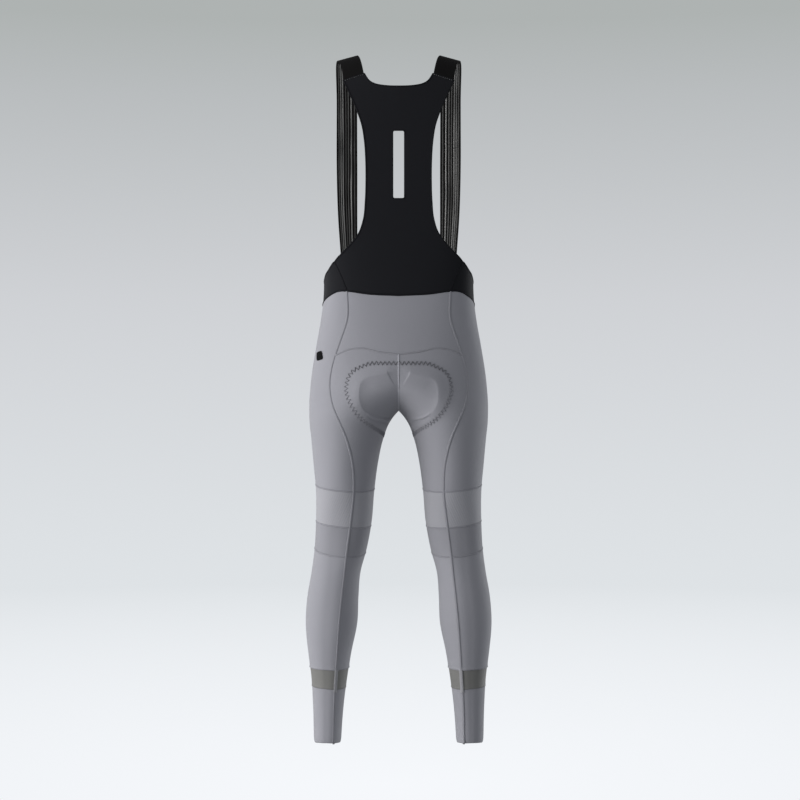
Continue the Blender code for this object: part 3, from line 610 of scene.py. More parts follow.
def shoulder_seam(columns):
    """x and z of the seam between a strap and the back panel, from the neck outwards."""
    inner, outer = NECKLINE[-1], SHOULDER_SEAM_OUT
    return places(spread(inner.x, outer.x, columns), spread(inner.z, outer.z, columns))


def bib_back_net(neck_columns, shoulder_columns, side_rows, free_rows):
    corner_angle, corner_z = waist_corner()
    waist = round_seam(WAIST_Z, -90.0, corner_angle, neck_columns + shoulder_columns)
    bottom = places(form_point(waist)[:, 0], waist[:, 1])
    neck = along([(point.x, point.z) for point in NECKLINE], neck_columns)
    top = np.concatenate([neck, shoulder_seam(shoulder_columns)[1:]])
    side_z = spread(corner_z, BIB_OUTLINE[0].z, side_rows)
    free_z = spread(BIB_OUTLINE[0].z, BIB_OUTLINE[-1].z, free_rows)[1:]
    right = np.concatenate([
        places(BIB_SIDE_X.first(side_z), side_z),
        places(BIB_OUTLINE_X.first(free_z), free_z),
    ])
    right[0] = bottom[-1]
    left = places(0.0, spread(bottom[0, 1], top[0, 1], len(right) - 1))
    flat = filled(left, right, bottom, top)
    return on_back(flat[..., 0], flat[..., 1])


def bib_front_net(columns, rows):
    corner_angle, corner_z = waist_corner()
    zs = spread(corner_z, BIB_OUTLINE[0].z, rows)
    right = places(-angle_at_x(BIB_SIDE_X.first(zs), zs), zs)
    right[0] = (corner_angle, corner_z)
    bottom = round_seam(WAIST_Z, corner_angle, 90.0, columns)[::-1]
    top = round_seam(BIB_FRONT_Z, right[-1, 0], 90.0, columns)[::-1].copy()
    top[-1] = right[-1]
    left = places(90.0, spread(bottom[0, 1], top[0, 1], rows))
    return filled(left, right, bottom, top)


def strap_net(columns, rows):
    over = np.linspace(0, 1, columns + 1)
    low = np.full(columns + 1, STRAP_EDGES[0].way)
    for _ in range(6):
        edges = STRAP_X.at(low)
        x = edges[:, 0] + (edges[:, 1] - edges[:, 0]) * over
        low = BIB_FRONT_Z.first(angle_at_x(x, low))
    seam = shoulder_seam(columns)
    high = -level_at(seam[:, 0], seam[:, 1])
    ways = low + (high - low) * np.linspace(0, 1, rows + 1)[:, None]
    edges = STRAP_X.at(ways)
    x = edges[..., 0] + (edges[..., 1] - edges[..., 0]) * over
    angle = angle_at_x(x, -np.abs(ways))
    return places(np.where(ways < 0, angle, -angle), -np.abs(ways))


def pad_net(rows, columns):
    edge = along(PAD_EDGE_POINTS, rows)
    behind = rows // 2
    back_z = CROTCH_Z + (PAD_TOP_Z - CROTCH_Z) * spread(1.0, 0.0, behind) ** 2
    front_z = CROTCH_Z + (PAD_FRONT_Z - CROTCH_Z) * spread(0.0, 1.0, rows - behind)[1:] ** 2
    inner = np.concatenate([
        places(-centre_angle(back_z), back_z),
        places(centre_angle(front_z) - 360, front_z),
    ])
    over = np.linspace(0, 1, columns + 1)[:, None]
    first, last = (inner[j] + (edge[j] - inner[j]) * over for j in (0, -1))
    return filled(inner, edge, first, last)


def stitch_line(count):
    """The seat pad's stitching line on one half, from the back's middle to the front's."""
    behind = np.array(STITCH_BEHIND)
    rows = np.concatenate([on_back(*behind.T), np.array(STITCH_BELOW)])
    rows[0, 0] = -90.0
    return along([tuple(row) for row in rows], count)


def distance_to_line(points, line):
    """Each point's distance to a line, both in the plane of x and z."""
    best = np.full(points.shape[:-1], np.inf)
    for start, end in zip(line[:-1], line[1:]):
        way = end - start
        share = np.clip(((points - start) @ way) / max(way @ way, 1e-12), 0.0, 1.0)
        best = np.minimum(best, np.linalg.norm(points - start - share[..., None] * way, axis=-1))
    return best


def inside_outline(points, outline):
    """True for each point inside a closed outline, both in the plane of x and z."""
    inside = np.zeros(points.shape[:-1], bool)
    for start, end in zip(outline, np.roll(outline, -1, axis=0)):
        crosses = (start[1] > points[..., 1]) != (end[1] > points[..., 1])
        slope = (end[0] - start[0]) / (end[1] - start[1] if end[1] != start[1] else 1e-12)
        inside ^= crosses & (points[..., 0] < start[0] + (points[..., 1] - start[1]) * slope)
    return inside


CORE_LINE = along(CORE_EDGE, 40)
CORE_OUTLINE = np.concatenate([
    CORE_LINE, along(CORE_FOLD, 20)[1:],
    [(PAST_MIDDLE_X, CORE_FOLD[-1].z), (PAST_MIDDLE_X, ABOVE_PAD_Z), (NOTCH_TOP.x, ABOVE_PAD_Z)],
])


def metres(name, description, default):
    return bpy.props.FloatProperty(
        name=name, description=description, default=default, unit="LENGTH"
    )


def tint(name, description, default):
    return bpy.props.FloatVectorProperty(
        name=name, description=description, default=default, subtype="COLOR"
    )


def amount(name, description, default):
    return bpy.props.FloatProperty(name=name, description=description, default=default)


class TightsSizes(bpy.types.PropertyGroup):
    """Sizes of the cloth and its sewing."""

    wall: metres("Cloth", "Thickness of the tights' cloth", 0.0015)
    bib_wall: metres("Bib Cloth", "Thickness of the bib's cloth", 0.0013)
    strap_wall: metres("Strap", "Thickness of a strap's elastic", 0.0014)
    trim_wall: metres("Trim", "Thickness of tapes and the label", 0.0008)
    seam_width: metres("Seam Width", "Width of a flat seam", 0.0042)
    seam_rise: metres("Seam Rise", "Height of a flat seam", 0.0011)
    ridge_rise: metres(
        "Back Ridge", "How far the lower leg's cloth rises to the back seam", 0.0046
    )
    edge_width: metres("Edge Width", "Width of a bound edge", 0.0034)
    edge_rise: metres("Edge Rise", "Height of a bound edge", 0.0006)
    zigzag_pitch: metres("Zigzag Pitch", "Length of one zigzag stitch", 0.0082)
    zigzag_width: metres("Zigzag Width", "Width of the zigzag line", 0.0092)
    thread: metres("Thread", "Thickness of the zigzag thread", 0.0014)
    rim_rise: metres("Core Rim", "How far the rims of the pad's cores lift the seat", 0.0024)
    dish_depth: metres("Core Dish", "How far the seat falls inside the rims", 0.0040)
    notch_depth: metres("Notch", "Depth of the notch between the cores", 0.0010)
    fold_rise: metres("Core Fold", "Height of the fold under each core", 0.0022)
    pad_rise: metres("Pad Rise", "How far the rest of the pad lifts the seat", 0.0006)
    rib_rise: metres("Rib Rise", "Height of a strap's ribs", 0.0007)


class TightsColours(bpy.types.PropertyGroup):
    """Colours of the cloth and its sewing."""

    jersey: tint("Jersey", "Grey cloth", (0.262, 0.262, 0.288))
    mesh: tint("Mesh", "Meshed cloth over the knee", (0.305, 0.305, 0.330))
    black: tint("Black", "Black cloth", (0.0112, 0.0115, 0.0138))
    elastic: tint("Elastic", "A strap's ribs", (0.0050, 0.0046, 0.0046))
    elastic_groove: tint(
        "Elastic Groove", "Sheer lines between a strap's ribs", (0.500, 0.500, 0.488)
    )
    band: tint("Calf Band", "Reflective band", (0.138, 0.137, 0.131))
    tape: tint("Tape", "Tape over the band", (0.270, 0.270, 0.285))
    pad: tint("Pad", "Seat pad", (0.050, 0.050, 0.055))
    label: tint("Label", "Hip label", (0.0015, 0.0015, 0.0020))
    stitch: tint("Stitch", "Stitches at the shoulder seam", (0.13, 0.13, 0.135))


class TightsStudio(bpy.types.PropertyGroup):
    """The studio's camera, light and backdrop."""

    distance: metres("Camera Distance", "From the camera to the garment", 4.0)
    view_width: metres("View Width", "Width of the picture at the garment", 1.58)
    view_shift: metres("View Shift", "How far the camera stands to the right", 0.0026)
    key: amount("Key Light", "Strength of the large light on the left", 234.0)
    fill: amount("Fill Light", "Strength of the light behind on the right", 60.0)
    rim: amount("Rim Light", "Strength of the light behind on the left", 19.0)
    top: amount("Top Light", "Strength of the light above", 6.0)
    room: amount("Room Light", "Strength of the even light", 0.385)


def sizes():
    return bpy.context.scene.tights_sizes


def colours():
    return bpy.context.scene.tights_colours


def shade(colour, share):
    return tuple(min(channel * share, 1.0) for channel in colour)


class NodeBench:
    """A new material's node tree, with short ways to add and join its nodes."""

    def __init__(self, name):
        self.material = bpy.data.materials.new(name)
        self.material.use_nodes = True
        self.tree = self.material.node_tree
        self.shader = self.tree.nodes["Principled BSDF"]

    def put(self, socket, value):
        """Join a socket to another one, or give it a constant."""
        if isinstance(value, bpy.types.NodeSocket):
            self.tree.links.new(value, socket)
        else:
            socket.default_value = (*value, 1.0) if socket.type == "RGBA" else value

    def set(self, node, **inputs):
        for name, value in inputs.items():
            self.put(node.inputs[name.replace("_", " ")], value)

    def add(self, kind, **inputs):
        node = self.tree.nodes.new(kind)
        self.set(node, **inputs)
        return node

    def sum(self, operation, first, second=0.0):
        """A Math node. The third input of MULTIPLY_ADD stays at Blender's own 0.5."""
        node = self.add("ShaderNodeMath")
        node.operation = operation
        self.put(node.inputs[0], first)
        self.put(node.inputs[1], second)
        return node.outputs[0]

    def plus(self, first, second, share):
        """first and a share of second."""
        return self.sum("ADD", first, self.sum("MULTIPLY", second, share))

    def blend(self, share, first, second):
        """A mix of two colours. A Mix node has its factor at 0 and its colours at 6 and 7."""
        node = self.add("ShaderNodeMix")
        node.data_type = "RGBA"
        for index, value in ((0, share), (6, first), (7, second)):
            self.put(node.inputs[index], value)
        return node.outputs[2]

    def tones(self, share, colour, low, high):
        """A colour between two shades of it."""
        return self.blend(share, shade(colour, low), shade(colour, high))

    def ramp(self, share, stops):
        """Colours along share. Each stop is its place and its red, green and blue."""
        node = self.add("ShaderNodeValToRGB", Fac=share)
        elements = node.color_ramp.elements
        while len(elements) < len(stops):
            elements.new(0.5)
        for element, (place, *colour) in zip(elements, stops):
            element.position = place
            element.color = (*colour, 1.0)
        return node.outputs[0]

    def share_of(self, value, low, high, most=1.0):
        """How far value is on its way from low to high, from 0 to most."""
        made = self.add(
            "ShaderNodeMapRange", Value=value, From_Min=low, From_Max=high, To_Max=most
        )
        return made.outputs[0]

    def spot(self):
        """The x, y and z of a point in the object's own frame."""
        place = self.add("ShaderNodeTexCoord").outputs["Object"]
        return self.add("ShaderNodeSeparateXYZ", Vector=place).outputs

    def cloth_ways(self):
        """The cloth's own coordinates in metres: both in one, across and along."""
        uv = self.add("ShaderNodeUVMap")
        uv.uv_map = "cloth"
        split = self.add("ShaderNodeSeparateXYZ", Vector=uv.outputs[0])
        return uv.outputs[0], split.outputs[0], split.outputs[1]

    def wave(self, way, pitch):
        """A wave from 0 to 1 along way, once each pitch."""
        turned = self.sum("MULTIPLY", way, 2 * math.pi / pitch)
        return self.sum("MULTIPLY_ADD", self.sum("SINE", turned), 0.5)

    def noise(self, scale, detail=2.0, vector=None):
        if vector is None:
            vector = self.add("ShaderNodeTexCoord").outputs["Object"]
        made = self.add("ShaderNodeTexNoise", Vector=vector, Scale=scale, Detail=detail)
        return made.outputs[0]

    def twist(self, pitch):
        """The turns of a thread, raised."""
        _, across, up = self.cloth_ways()
        turns = self.wave(self.plus(up, across, 0.5), pitch)
        self.bump(turns, strength=0.6, distance=0.0005)
        return turns

    def bump(self, height, strength, distance):
        made = self.add("ShaderNodeBump", Height=height, Strength=strength, Distance=distance)
        self.set(self.shader, Normal=made.outputs[0])

    def base(self, colour):
        self.set(self.shader, Base_Color=colour)

    def gloss(self, roughness, specular, sheen=0.0, sheen_roughness=0.5, metallic=0.0):
        self.set(
            self.shader, Roughness=roughness, Specular_IOR_Level=specular, Metallic=metallic,
            Sheen_Weight=sheen, Sheen_Roughness=sheen_roughness,
        )


def own_colour(look):
    """The colour of a row of KNITS or THREADS."""
    return shade(getattr(colours(), look.colour), look.share)


def knit_look(bench, look):
    """Plain jersey: fine wales and courses, a soft mottle and a brushed sheen."""
    _, across, up = bench.cloth_ways()
    wales, courses = bench.wave(across, look.pitch), bench.wave(up, look.pitch * 0.8)
    loops = bench.sum("MULTIPLY", wales, courses)
    cloudy = bench.noise(9.0, detail=3.0)
    fuzz = bench.noise(1400.0)
    tone = bench.tones(cloudy, own_colour(look), 1 - look.mottle, 1 + look.mottle)
    yarn = bench.tones(fuzz, own_colour(look), 0.80, 1.20)
    bench.base(bench.blend(0.45, tone, yarn))
    bench.bump(bench.plus(loops, fuzz, 0.6), strength=0.35, distance=0.0003)
    bench.gloss(0.72, look.specular, look.sheen, sheen_roughness=0.45)


def thread_look(bench, look):
    """Sewing: twisted threads side by side across a seam."""
    bench.base(bench.tones(bench.twist(look.pitch), own_colour(look), 0.82, 1.10))
    bench.gloss(0.65, look.specular, look.sheen)


def mesh_look(bench):
    """Knee cloth: a fine open honeycomb, lighter on its ridges."""
    uv, across, up = bench.cloth_ways()
    cells = bench.add("ShaderNodeTexVoronoi", Vector=uv, Scale=360.0, Randomness=0.25)
    cells.feature = "DISTANCE_TO_EDGE"
    hollow = bench.sum("MINIMUM", bench.sum("MULTIPLY", cells.outputs["Distance"], 3.2), 1.0)
    diagonal = bench.wave(bench.plus(across, up, 0.60), 0.0044)
    grid = bench.plus(bench.sum("MULTIPLY", hollow, 0.6), diagonal, 0.4)
    bench.base(bench.tones(grid, colours().mesh, 1.05, 0.91))
    bench.bump(bench.sum("SUBTRACT", 1.0, grid), strength=0.45, distance=0.0006)
    bench.gloss(0.75, specular=0.2, sheen=0.25)


def elastic_look(bench):
    """Strap elastic: dark ribs with sheer lines between them, and a plain end at the shoulder."""
    uv, across, up = bench.cloth_ways()
    stretched = bench.add("ShaderNodeMapping", Vector=uv, Scale=(18.0, 7.0, 1.0)).outputs[0]
    wander = bench.sum("SUBTRACT", bench.noise(1.0, 1.0, stretched), 0.5)
    share = bench.plus(bench.sum("DIVIDE", across, STRAP_WIDTH), wander, 0.10)
    sheer = bench.ramp(share, [(place, *[amount] * 3) for place, amount in sheer_stops()])
    fine = bench.wave(across, 0.0016)
    sheer = bench.sum("MULTIPLY", sheer, bench.sum("MULTIPLY_ADD", fine, 0.5))
    ribbed = bench.share_of(up, STRAP_PLAIN_END, STRAP_PLAIN_END + STRAP_PLAIN_FADE)
    sheer = bench.sum("MULTIPLY", sheer, ribbed)
    bench.base(bench.blend(sheer, colours().elastic, colours().elastic_groove))
    bench.bump(bench.plus(bench.wave(up, 0.0012), fine, -0.6), strength=0.25, distance=0.0003)
    bench.gloss(0.80, specular=0.10)


def band_look(bench):
    """Reflective band: fine bright beads in a dull weave."""
    uv, across, up = bench.cloth_ways()
    beads = bench.add("ShaderNodeTexVoronoi", Vector=uv, Scale=1500.0).outputs["Distance"]
    weave = bench.sum("MULTIPLY", bench.wave(across, 0.0011), bench.wave(up, 0.0011))
    tone = bench.tones(bench.noise(16.0, detail=3.0), colours().band, 0.86, 1.14)
    bright = shade(colours().band, 1.35)
    bench.base(bench.blend(bench.sum("MULTIPLY", beads, 0.8), bright, tone))
    bench.bump(bench.sum("ADD", weave, beads), strength=0.3, distance=0.0002)
    bench.gloss(0.58, specular=0.25, metallic=0.06)


def zigzag_look(bench):
    """Pad stitching: painted shade darkens it along the top, where it is sunk, and lower down it
    is as pale as the cloth.
    """
    high = shade(colours().jersey, ZIGZAG_HIGH_SHADE)
    low = shade(colours().jersey, ZIGZAG_LOW_SHADE)
    # Painted shade: the thread darkens from ZIGZAG_LOW_Z up to ZIGZAG_HIGH_Z.
    tone = bench.blend(bench.share_of(bench.spot()[2], ZIGZAG_LOW_Z, ZIGZAG_HIGH_Z), low, high)
    turns = bench.sum("MULTIPLY", bench.twist(ZIGZAG_PITCH), 0.15)
    bench.base(bench.blend(turns, tone, shade(high, 0.7)))
    bench.gloss(0.65, specular=0.25, sheen=0.10)


OTHER_LOOKS = {
    "knee mesh": mesh_look,
    "strap elastic": elastic_look,
    "calf band": band_look,
    "zigzag thread": zigzag_look,
}


def material(finish):
    """A finish's material, made when it is first asked for."""
    if finish in bpy.data.materials:
        return bpy.data.materials[finish]
    bench = NodeBench(finish)
    if finish in KNITS:
        knit_look(bench, KNITS[finish])
    elif finish in THREADS:
        thread_look(bench, THREADS[finish])
    else:
        OTHER_LOOKS[finish](bench)
    return bench.material


def step_lengths(points, axis=0):
    return np.linalg.norm(np.diff(points, axis=axis), axis=-1)


def ways_along(line):
    """The way from a line's start to each of its points."""
    return np.concatenate([[0.0], np.cumsum(step_lengths(line))])


def at_marks(marks, way, values):
    """Columns of values, sampled again at marks along way."""
    return np.stack([np.interp(marks, way, column) for column in values.T], -1)


def cloth_uv(points):
    """Ways across and along a net of points in metres, for patterns that follow the cloth."""
    across, up = (np.cumsum(step_lengths(points, axis), axis=axis) for axis in (1, 0))
    u = np.concatenate([np.zeros((len(points), 1)), across], axis=1)
    v = np.concatenate([np.zeros((1, points.shape[1])), up], axis=0)
    return np.stack([u - u.mean(axis=1, keepdims=True), v], -1)


def faces_out(points, normals):
    """True where a net's own side points the way of its normals."""
    own = np.cross(points[:-1, 1:] - points[:-1, :-1], points[1:, :-1] - points[:-1, :-1])
    return (own * normals[:-1, :-1]).sum() > 0


def net_area(points):
    """The area of a net's faces, each taken as two triangles."""
    low_left, low_right = points[:-1, :-1], points[:-1, 1:]
    high_left, high_right = points[1:, :-1], points[1:, 1:]
    halves = (
        np.cross(low_right - low_left, high_left - low_left),
        np.cross(low_right - high_right, high_left - high_right),
    )
    return float(sum(np.linalg.norm(half, axis=-1) for half in halves).sum() / 2)


def mesh_from(name, blank):
    """A new mesh of a bmesh, which is freed."""
    mesh = bpy.data.meshes.new(name)
    blank.to_mesh(mesh)
    blank.free()
    return mesh


@contextmanager
def edited(mesh):
    """A mesh opened as a bmesh, and then written back smooth."""
    opened = bmesh.new()
    opened.from_mesh(mesh)
    yield opened
    opened.to_mesh(mesh)
    opened.free()
    mesh.shade_smooth()


def net_mesh(name, points, uv):
    """A grid blank with its vertices moved to a net of points."""
    rows, columns = points.shape[:2]
    blank = bmesh.new()
    bmesh.ops.create_grid(blank, x_segments=columns - 1, y_segments=rows - 1, size=1.0)
    mesh = mesh_from(name, blank)
    flat = np.empty(len(mesh.vertices) * 3, np.float32)
    mesh.vertices.foreach_get("co", flat)
    flat = flat.reshape(-1, 3)
    i = np.rint((flat[:, 0] + 1) / 2 * (columns - 1)).astype(int)
    j = np.rint((flat[:, 1] + 1) / 2 * (rows - 1)).astype(int)
    mesh.vertices.foreach_set("co", points[j, i].astype(np.float32).ravel())
    corners = np.empty(len(mesh.loops), np.int32)
    mesh.loops.foreach_get("vertex_index", corners)
    layer = mesh.uv_layers.new(name="cloth")
    layer.data.foreach_set("uv", uv[j, i][corners].astype(np.float32).ravel())
    mesh.shade_smooth()
    mesh.update()
    return mesh


def linked(name, data):
    """A new object of some data, in the scene."""
    made = bpy.data.objects.new(name, data)
    bpy.context.scene.collection.objects.link(made)
    return made


def piece_of(name, mesh, finish):
    mesh.materials.append(material(finish))
    piece = linked(name, mesh)
    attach(piece, "root")
    return piece


def trim_piece(name, node, cloth, finish, uv=None):
    """A thin wall on a net of outer points, which stands for a node."""
    points, normals = cloth
    uv = cloth_uv(points) if uv is None else uv
    if not faces_out(points, normals):
        points, uv = points[:, ::-1], uv[:, ::-1]
    piece = piece_of(name, net_mesh(name, points, uv), finish)
    thick = piece.modifiers.new("wall", "SOLIDIFY")
    thick.thickness = getattr(sizes(), FINISHES[finish].wall)
    thick.offset = -1.0
    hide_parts(node)
    return piece


def cloth_piece(name, node, cloth, finish, cut=0.0, uv=None):
    """One sewn piece. The size of its cut is worked out but not declared; cut is the area of a
    hole in it.
    """
    piece = trim_piece(name, node, cloth, finish, uv)
    points, stretch = cloth[0], FINISHES[finish].stretch
    around = step_lengths(points, 1).sum(axis=1).max()
    length = step_lengths(points, 0).sum(axis=0).max()
    area = (net_area(points) - cut) / (stretch.around * stretch.along)
    return piece


def both_halves(cloth, axis=1):
    """Cloth of one half that starts in the middle plane, joined to its mirror image."""
    back = (slice(None),) * axis + (slice(None, 0, -1),)
    return tuple(np.concatenate([part[back] * MIRROR, part], axis=axis) for part in cloth)


def mirrored(cloth, is_left):
    return tuple(part * MIRROR for part in cloth) if is_left else cloth


def cloth_pair(name, node, cloth, finish, rests_on, uv=None):
    """A sewn piece on each half. SIDE in a name stands for right or left."""
    for side, is_left in SIDES:
        own, stands_for, *under = (
            text.replace("SIDE", side) for text in (name, node, rests_on) if text
        )
        cloth_piece(own, stands_for, mirrored(cloth, is_left), finish, uv=uv)


def core_relief(x, z):
    """The dished cores of the pad: rims, notch and folds, at x from the middle and z."""
    spots = np.stack([x, z], -1)
    rim = distance_to_line(spots, CORE_LINE)
    inside = inside_outline(spots, CORE_OUTLINE)
    between = (x < NOTCH_TOP.x) & (z > BETWEEN_CORES_Z)
    share = np.where(between, smooth_step((CORES_TOP_Z - z) / CORES_TOP_FADE), inside)
    outer = sizes().rim_rise * bell(rim, RIM_FALL_OUT)
    inner = sizes().rim_rise - sizes().dish_depth * (1 - np.exp(-rim / RIM_FALL_IN))
    notch_x = np.interp(z, (NOTCH_BOTTOM.z, NOTCH_TOP.z), (NOTCH_BOTTOM.x, NOTCH_TOP.x))
    notch = smooth_step((notch_x - x) / NOTCH_SIDE_FADE)
    notch = notch * smooth_step((NOTCH_HIGH_Z - z) / NOTCH_HIGH_FADE)
    notch = notch * smooth_step((z - NOTCH_LOW_Z) / NOTCH_LOW_FADE)
    fold = distance_to_line(spots, np.array(CORE_FOLD))
    under = FOLD_OUTSIDE_SHARE * bell(fold, FOLD_OUTSIDE)
    under = under - TROUGH_SHARE * bell(fold - TROUGH_OFF, TROUGH_WIDTH)
    lip = np.where(inside, bell(fold, FOLD_INSIDE), under)
    lip = lip * smooth_step((CORE_FOLD[0].x + FOLD_END_PAST - x) / FOLD_END_FADE)
    level = outer * (1 - share) + inner * share
    return level - sizes().notch_depth * notch + sizes().fold_rise * lip


def seat_relief(points):
    """How far the pad lifts the cloth: over its cores, and less over the rest of it."""
    x, y, z = np.abs(points[..., 0]), points[..., 1], points[..., 2]
    near = (x < PAD_NEAR_X) & (z > PAD_NEAR_LOW_Z) & (z < PAD_NEAR_HIGH_Z) & (y < -PAD_FADE_Y)
    rise = np.zeros(points.shape[:-1])
    if not near.any():
        return rise
    x, y, z = x[near], y[near], z[near]
    spots = np.stack([x, z], -1)
    edge = along([*STITCH_BEHIND, *STITCH_BOTTOM], 60)
    inside = inside_outline(spots, np.concatenate([edge, [(0.0, ABOVE_PAD_Z)]]))
    to_edge = distance_to_line(spots, edge) * np.where(inside, 1, -1)
    pad_share = smooth_step((to_edge + PAD_LIFT_PAST) / PAD_LIFT_FADE)
    groove = bell(to_edge, GROOVE_WIDTH) * GROOVE_DEPTH
    fade = smooth_step((-y - PAD_FADE_Y) / PAD_FADE_DEPTH)
    rise[near] = (core_relief(x, z) + sizes().pad_rise * pad_share - groove) * fade
    return rise


# Soft folds of the worn cloth: middle, way it runs, half length, half width and depth.
Crease = namedtuple("Crease", "x z turn half_length half_width depth")
CREASES = rows_of(
    Crease,
    (0.0209, -0.7179, -34, 0.009, 0.0024, 0.0009),
    (0.0330, -0.7330, -58, 0.007, 0.0020, 0.0004),
)
CREASE_FRONT_Y, CREASE_RIDGE_SHARE, CREASE_RIDGE_OFF = -0.02, 0.6, 1.8


def crease_relief(points):
    """The troughs and low ridges of the soft folds at the back of the thighs."""
    x, z = np.abs(points[..., 0]), points[..., 2]
    rise = np.zeros(points.shape[:-1])
    for crease in CREASES:
        turn = math.radians(crease.turn)
        dx, dz = x - crease.x, z - crease.z
        run = dx * math.sin(turn) + dz * math.cos(turn)
        off = dx * math.cos(turn) - dz * math.sin(turn)
        fade = bell(run, crease.half_length) * (points[..., 1] < CREASE_FRONT_Y)
        ridge = bell(off - CREASE_RIDGE_OFF * crease.half_width, crease.half_width)
        ridge = CREASE_RIDGE_SHARE * ridge - bell(off, crease.half_width)
        rise += crease.depth * fade * ridge
    return rise


def ridge_relief(net):
    """The low ridge in which the cloth of the lower leg rises to the back seam."""
    level = net[..., 1]
    if level.min() > RIDGE_TOP_Z:
        return np.zeros(level.shape)
    turn = (net[..., 0] - back_seam_angle(level) + 180.0) % 360.0 - 180.0
    outer, inner = sections(level)[:2]
    off = np.radians(turn) * (outer - inner) / 2
    tent = np.clip(1 - off / (RIDGE_OUTER_SHARE * (outer - inner) / 2), 0.0, 1.0)
    fall = np.exp(np.minimum(off, 0.0) / RIDGE_INNER_WIDTH)
    share = smooth_step((RIDGE_TOP_Z - level) / RIDGE_FADE)
    return sizes().ridge_rise * np.where(off > 0, tent ** RIDGE_OUTER_POWER, fall) * share


def laid(net, lift=0.0):
    """Points and normals of cloth laid on the form at form coordinates."""
    points, normals = form_point(net), form_normal(net)
    rise = lift + (seat_relief(points) + crease_relief(points) + ridge_relief(net))
    in_plane = np.abs(points[..., 0]) < SAME_PLACE
    normals[in_plane, 0] = 0.0
    normals[in_plane] = unit(normals[in_plane])
    return points + normals * rise[..., None], normals


def tube_piece(name, line, across_half, rise_half, finish, sides=8):
    """A flattened tube along a line on the cloth: a ring, or closed at both ends."""
    centre, normals = line
    along_way = np.gradient(centre, axis=0)
    if np.linalg.norm(centre[0] - centre[-1]) < SAME_PLACE:
        centre, normals = (np.vstack([part[:-1], part[:1]]) for part in line)
        along_way[[0, -1]] = (centre[1] - centre[-2]) / 2
    across_way = unit(np.cross(normals, unit(along_way)))
    turns = np.linspace(0, 2 * math.pi, sides + 1)
    across, rise = np.cos(turns) * across_half, np.sin(turns) * rise_half
    ring = across_way[:, None] * across[:, None] + normals[:, None] * rise[:, None]
    uv = np.stack(np.broadcast_arrays(across, ways_along(centre)[:, None]), -1)
    mesh = net_mesh(name, centre[:, None] + ring, uv)
    with edited(mesh) as tube:
        bmesh.ops.remove_doubles(tube, verts=tube.verts, dist=1e-6)
        bmesh.ops.holes_fill(tube, edges=[edge for edge in tube.edges if edge.is_boundary])
        bmesh.ops.recalc_face_normals(tube, faces=tube.faces)
    return piece_of(name, mesh, finish)


def even_line(line, step):
    """A line and its normals sampled again at even steps."""
    centre, normals = line
    way = ways_along(centre)
    marks = np.linspace(0, way[-1], max(int(round(way[-1] / step)), 4) + 1)
    return at_marks(marks, way, centre), unit(at_marks(marks, way, normals))


def seam_piece(name, net, width, rise, finish, is_left=False, both=False):
    """A raised line along form coordinates: on one half, or over both."""
    line = both_halves(laid(net), axis=0) if both else mirrored(laid(net), is_left)
    tube_piece(name, even_line(line, SEAM_STEP), width / 2, rise, finish)


def flat_seam(name, net, width, rise, finish="grey seam", **half):
    """A flat seam. Its width and rise are shares of the usual seam's."""
    width, rise = sizes().seam_width * width, sizes().seam_rise * rise
    seam_piece(name, net, width, rise, finish, **half)


def bound_edge(name, net, **half):
    seam_piece(name, net, sizes().edge_width, sizes().edge_rise, "black seam", **half)


def bib_side_angle(z):
    return -angle_at_x(BIB_SIDE_X.first(z), np.asarray(z, float))


class TIGHTS_OT_bib(bpy.types.Operator):
    """Make the black back panel with its slot, and the front waist panel"""

    bl_idname = "tights.bib"
    bl_label = "Bib Panels"

    def execute(self, context):
        back_net = bib_back_net(
            neck_columns=60, shoulder_columns=34, side_rows=24, free_rows=130
        )
        back = both_halves(laid(back_net))
        slot_area = 2 * SLOT_HALF_WIDTH * (SLOT_TOP_Z - SLOT_BOTTOM_Z)
        panel = cloth_piece("bib_back_panel", "bib_back", back, "bib jersey", slot_area)
        self.cut_slot(panel)
        front = both_halves(laid(bib_front_net(columns=110, rows=30)))
        cloth_piece("bib_front_panel", "bib_front", front, "bib jersey")
        return {"FINISHED"}

    def cut_slot(self, panel):
        """Cut the upright slot with round corners through the panel's wall."""
        block = bmesh.new()
        bmesh.ops.create_cube(block, size=1.0)
        size = (2 * SLOT_HALF_WIDTH, SLOT_DEPTH, SLOT_TOP_Z - SLOT_BOTTOM_Z)
        bmesh.ops.scale(block, verts=block.verts, vec=size)
        corners = [
            e for e in block.edges if abs(e.verts[0].co.y - e.verts[1].co.y) > SLOT_DEPTH / 2
        ]
        bmesh.ops.bevel(
            block, geom=corners, offset=SLOT_CORNER, segments=5, profile=0.5, affect="EDGES",
            material=-1,
        )
        middle = (0.0, SLOT_Y, (SLOT_TOP_Z + SLOT_BOTTOM_Z) / 2)
        bmesh.ops.translate(block, verts=block.verts, vec=middle)
        cutter = linked("slot_cutter", mesh_from("slot_cutter", block))
        cut = panel.modifiers.new("slot", "BOOLEAN")
        cut.operation = "DIFFERENCE"
        cut.object = cutter
        graph = bpy.context.evaluated_depsgraph_get()
        whole = bpy.data.meshes.new_from_object(panel.evaluated_get(graph))
        panel.modifiers.clear()
        panel.data = whole
        bpy.data.objects.remove(cutter)


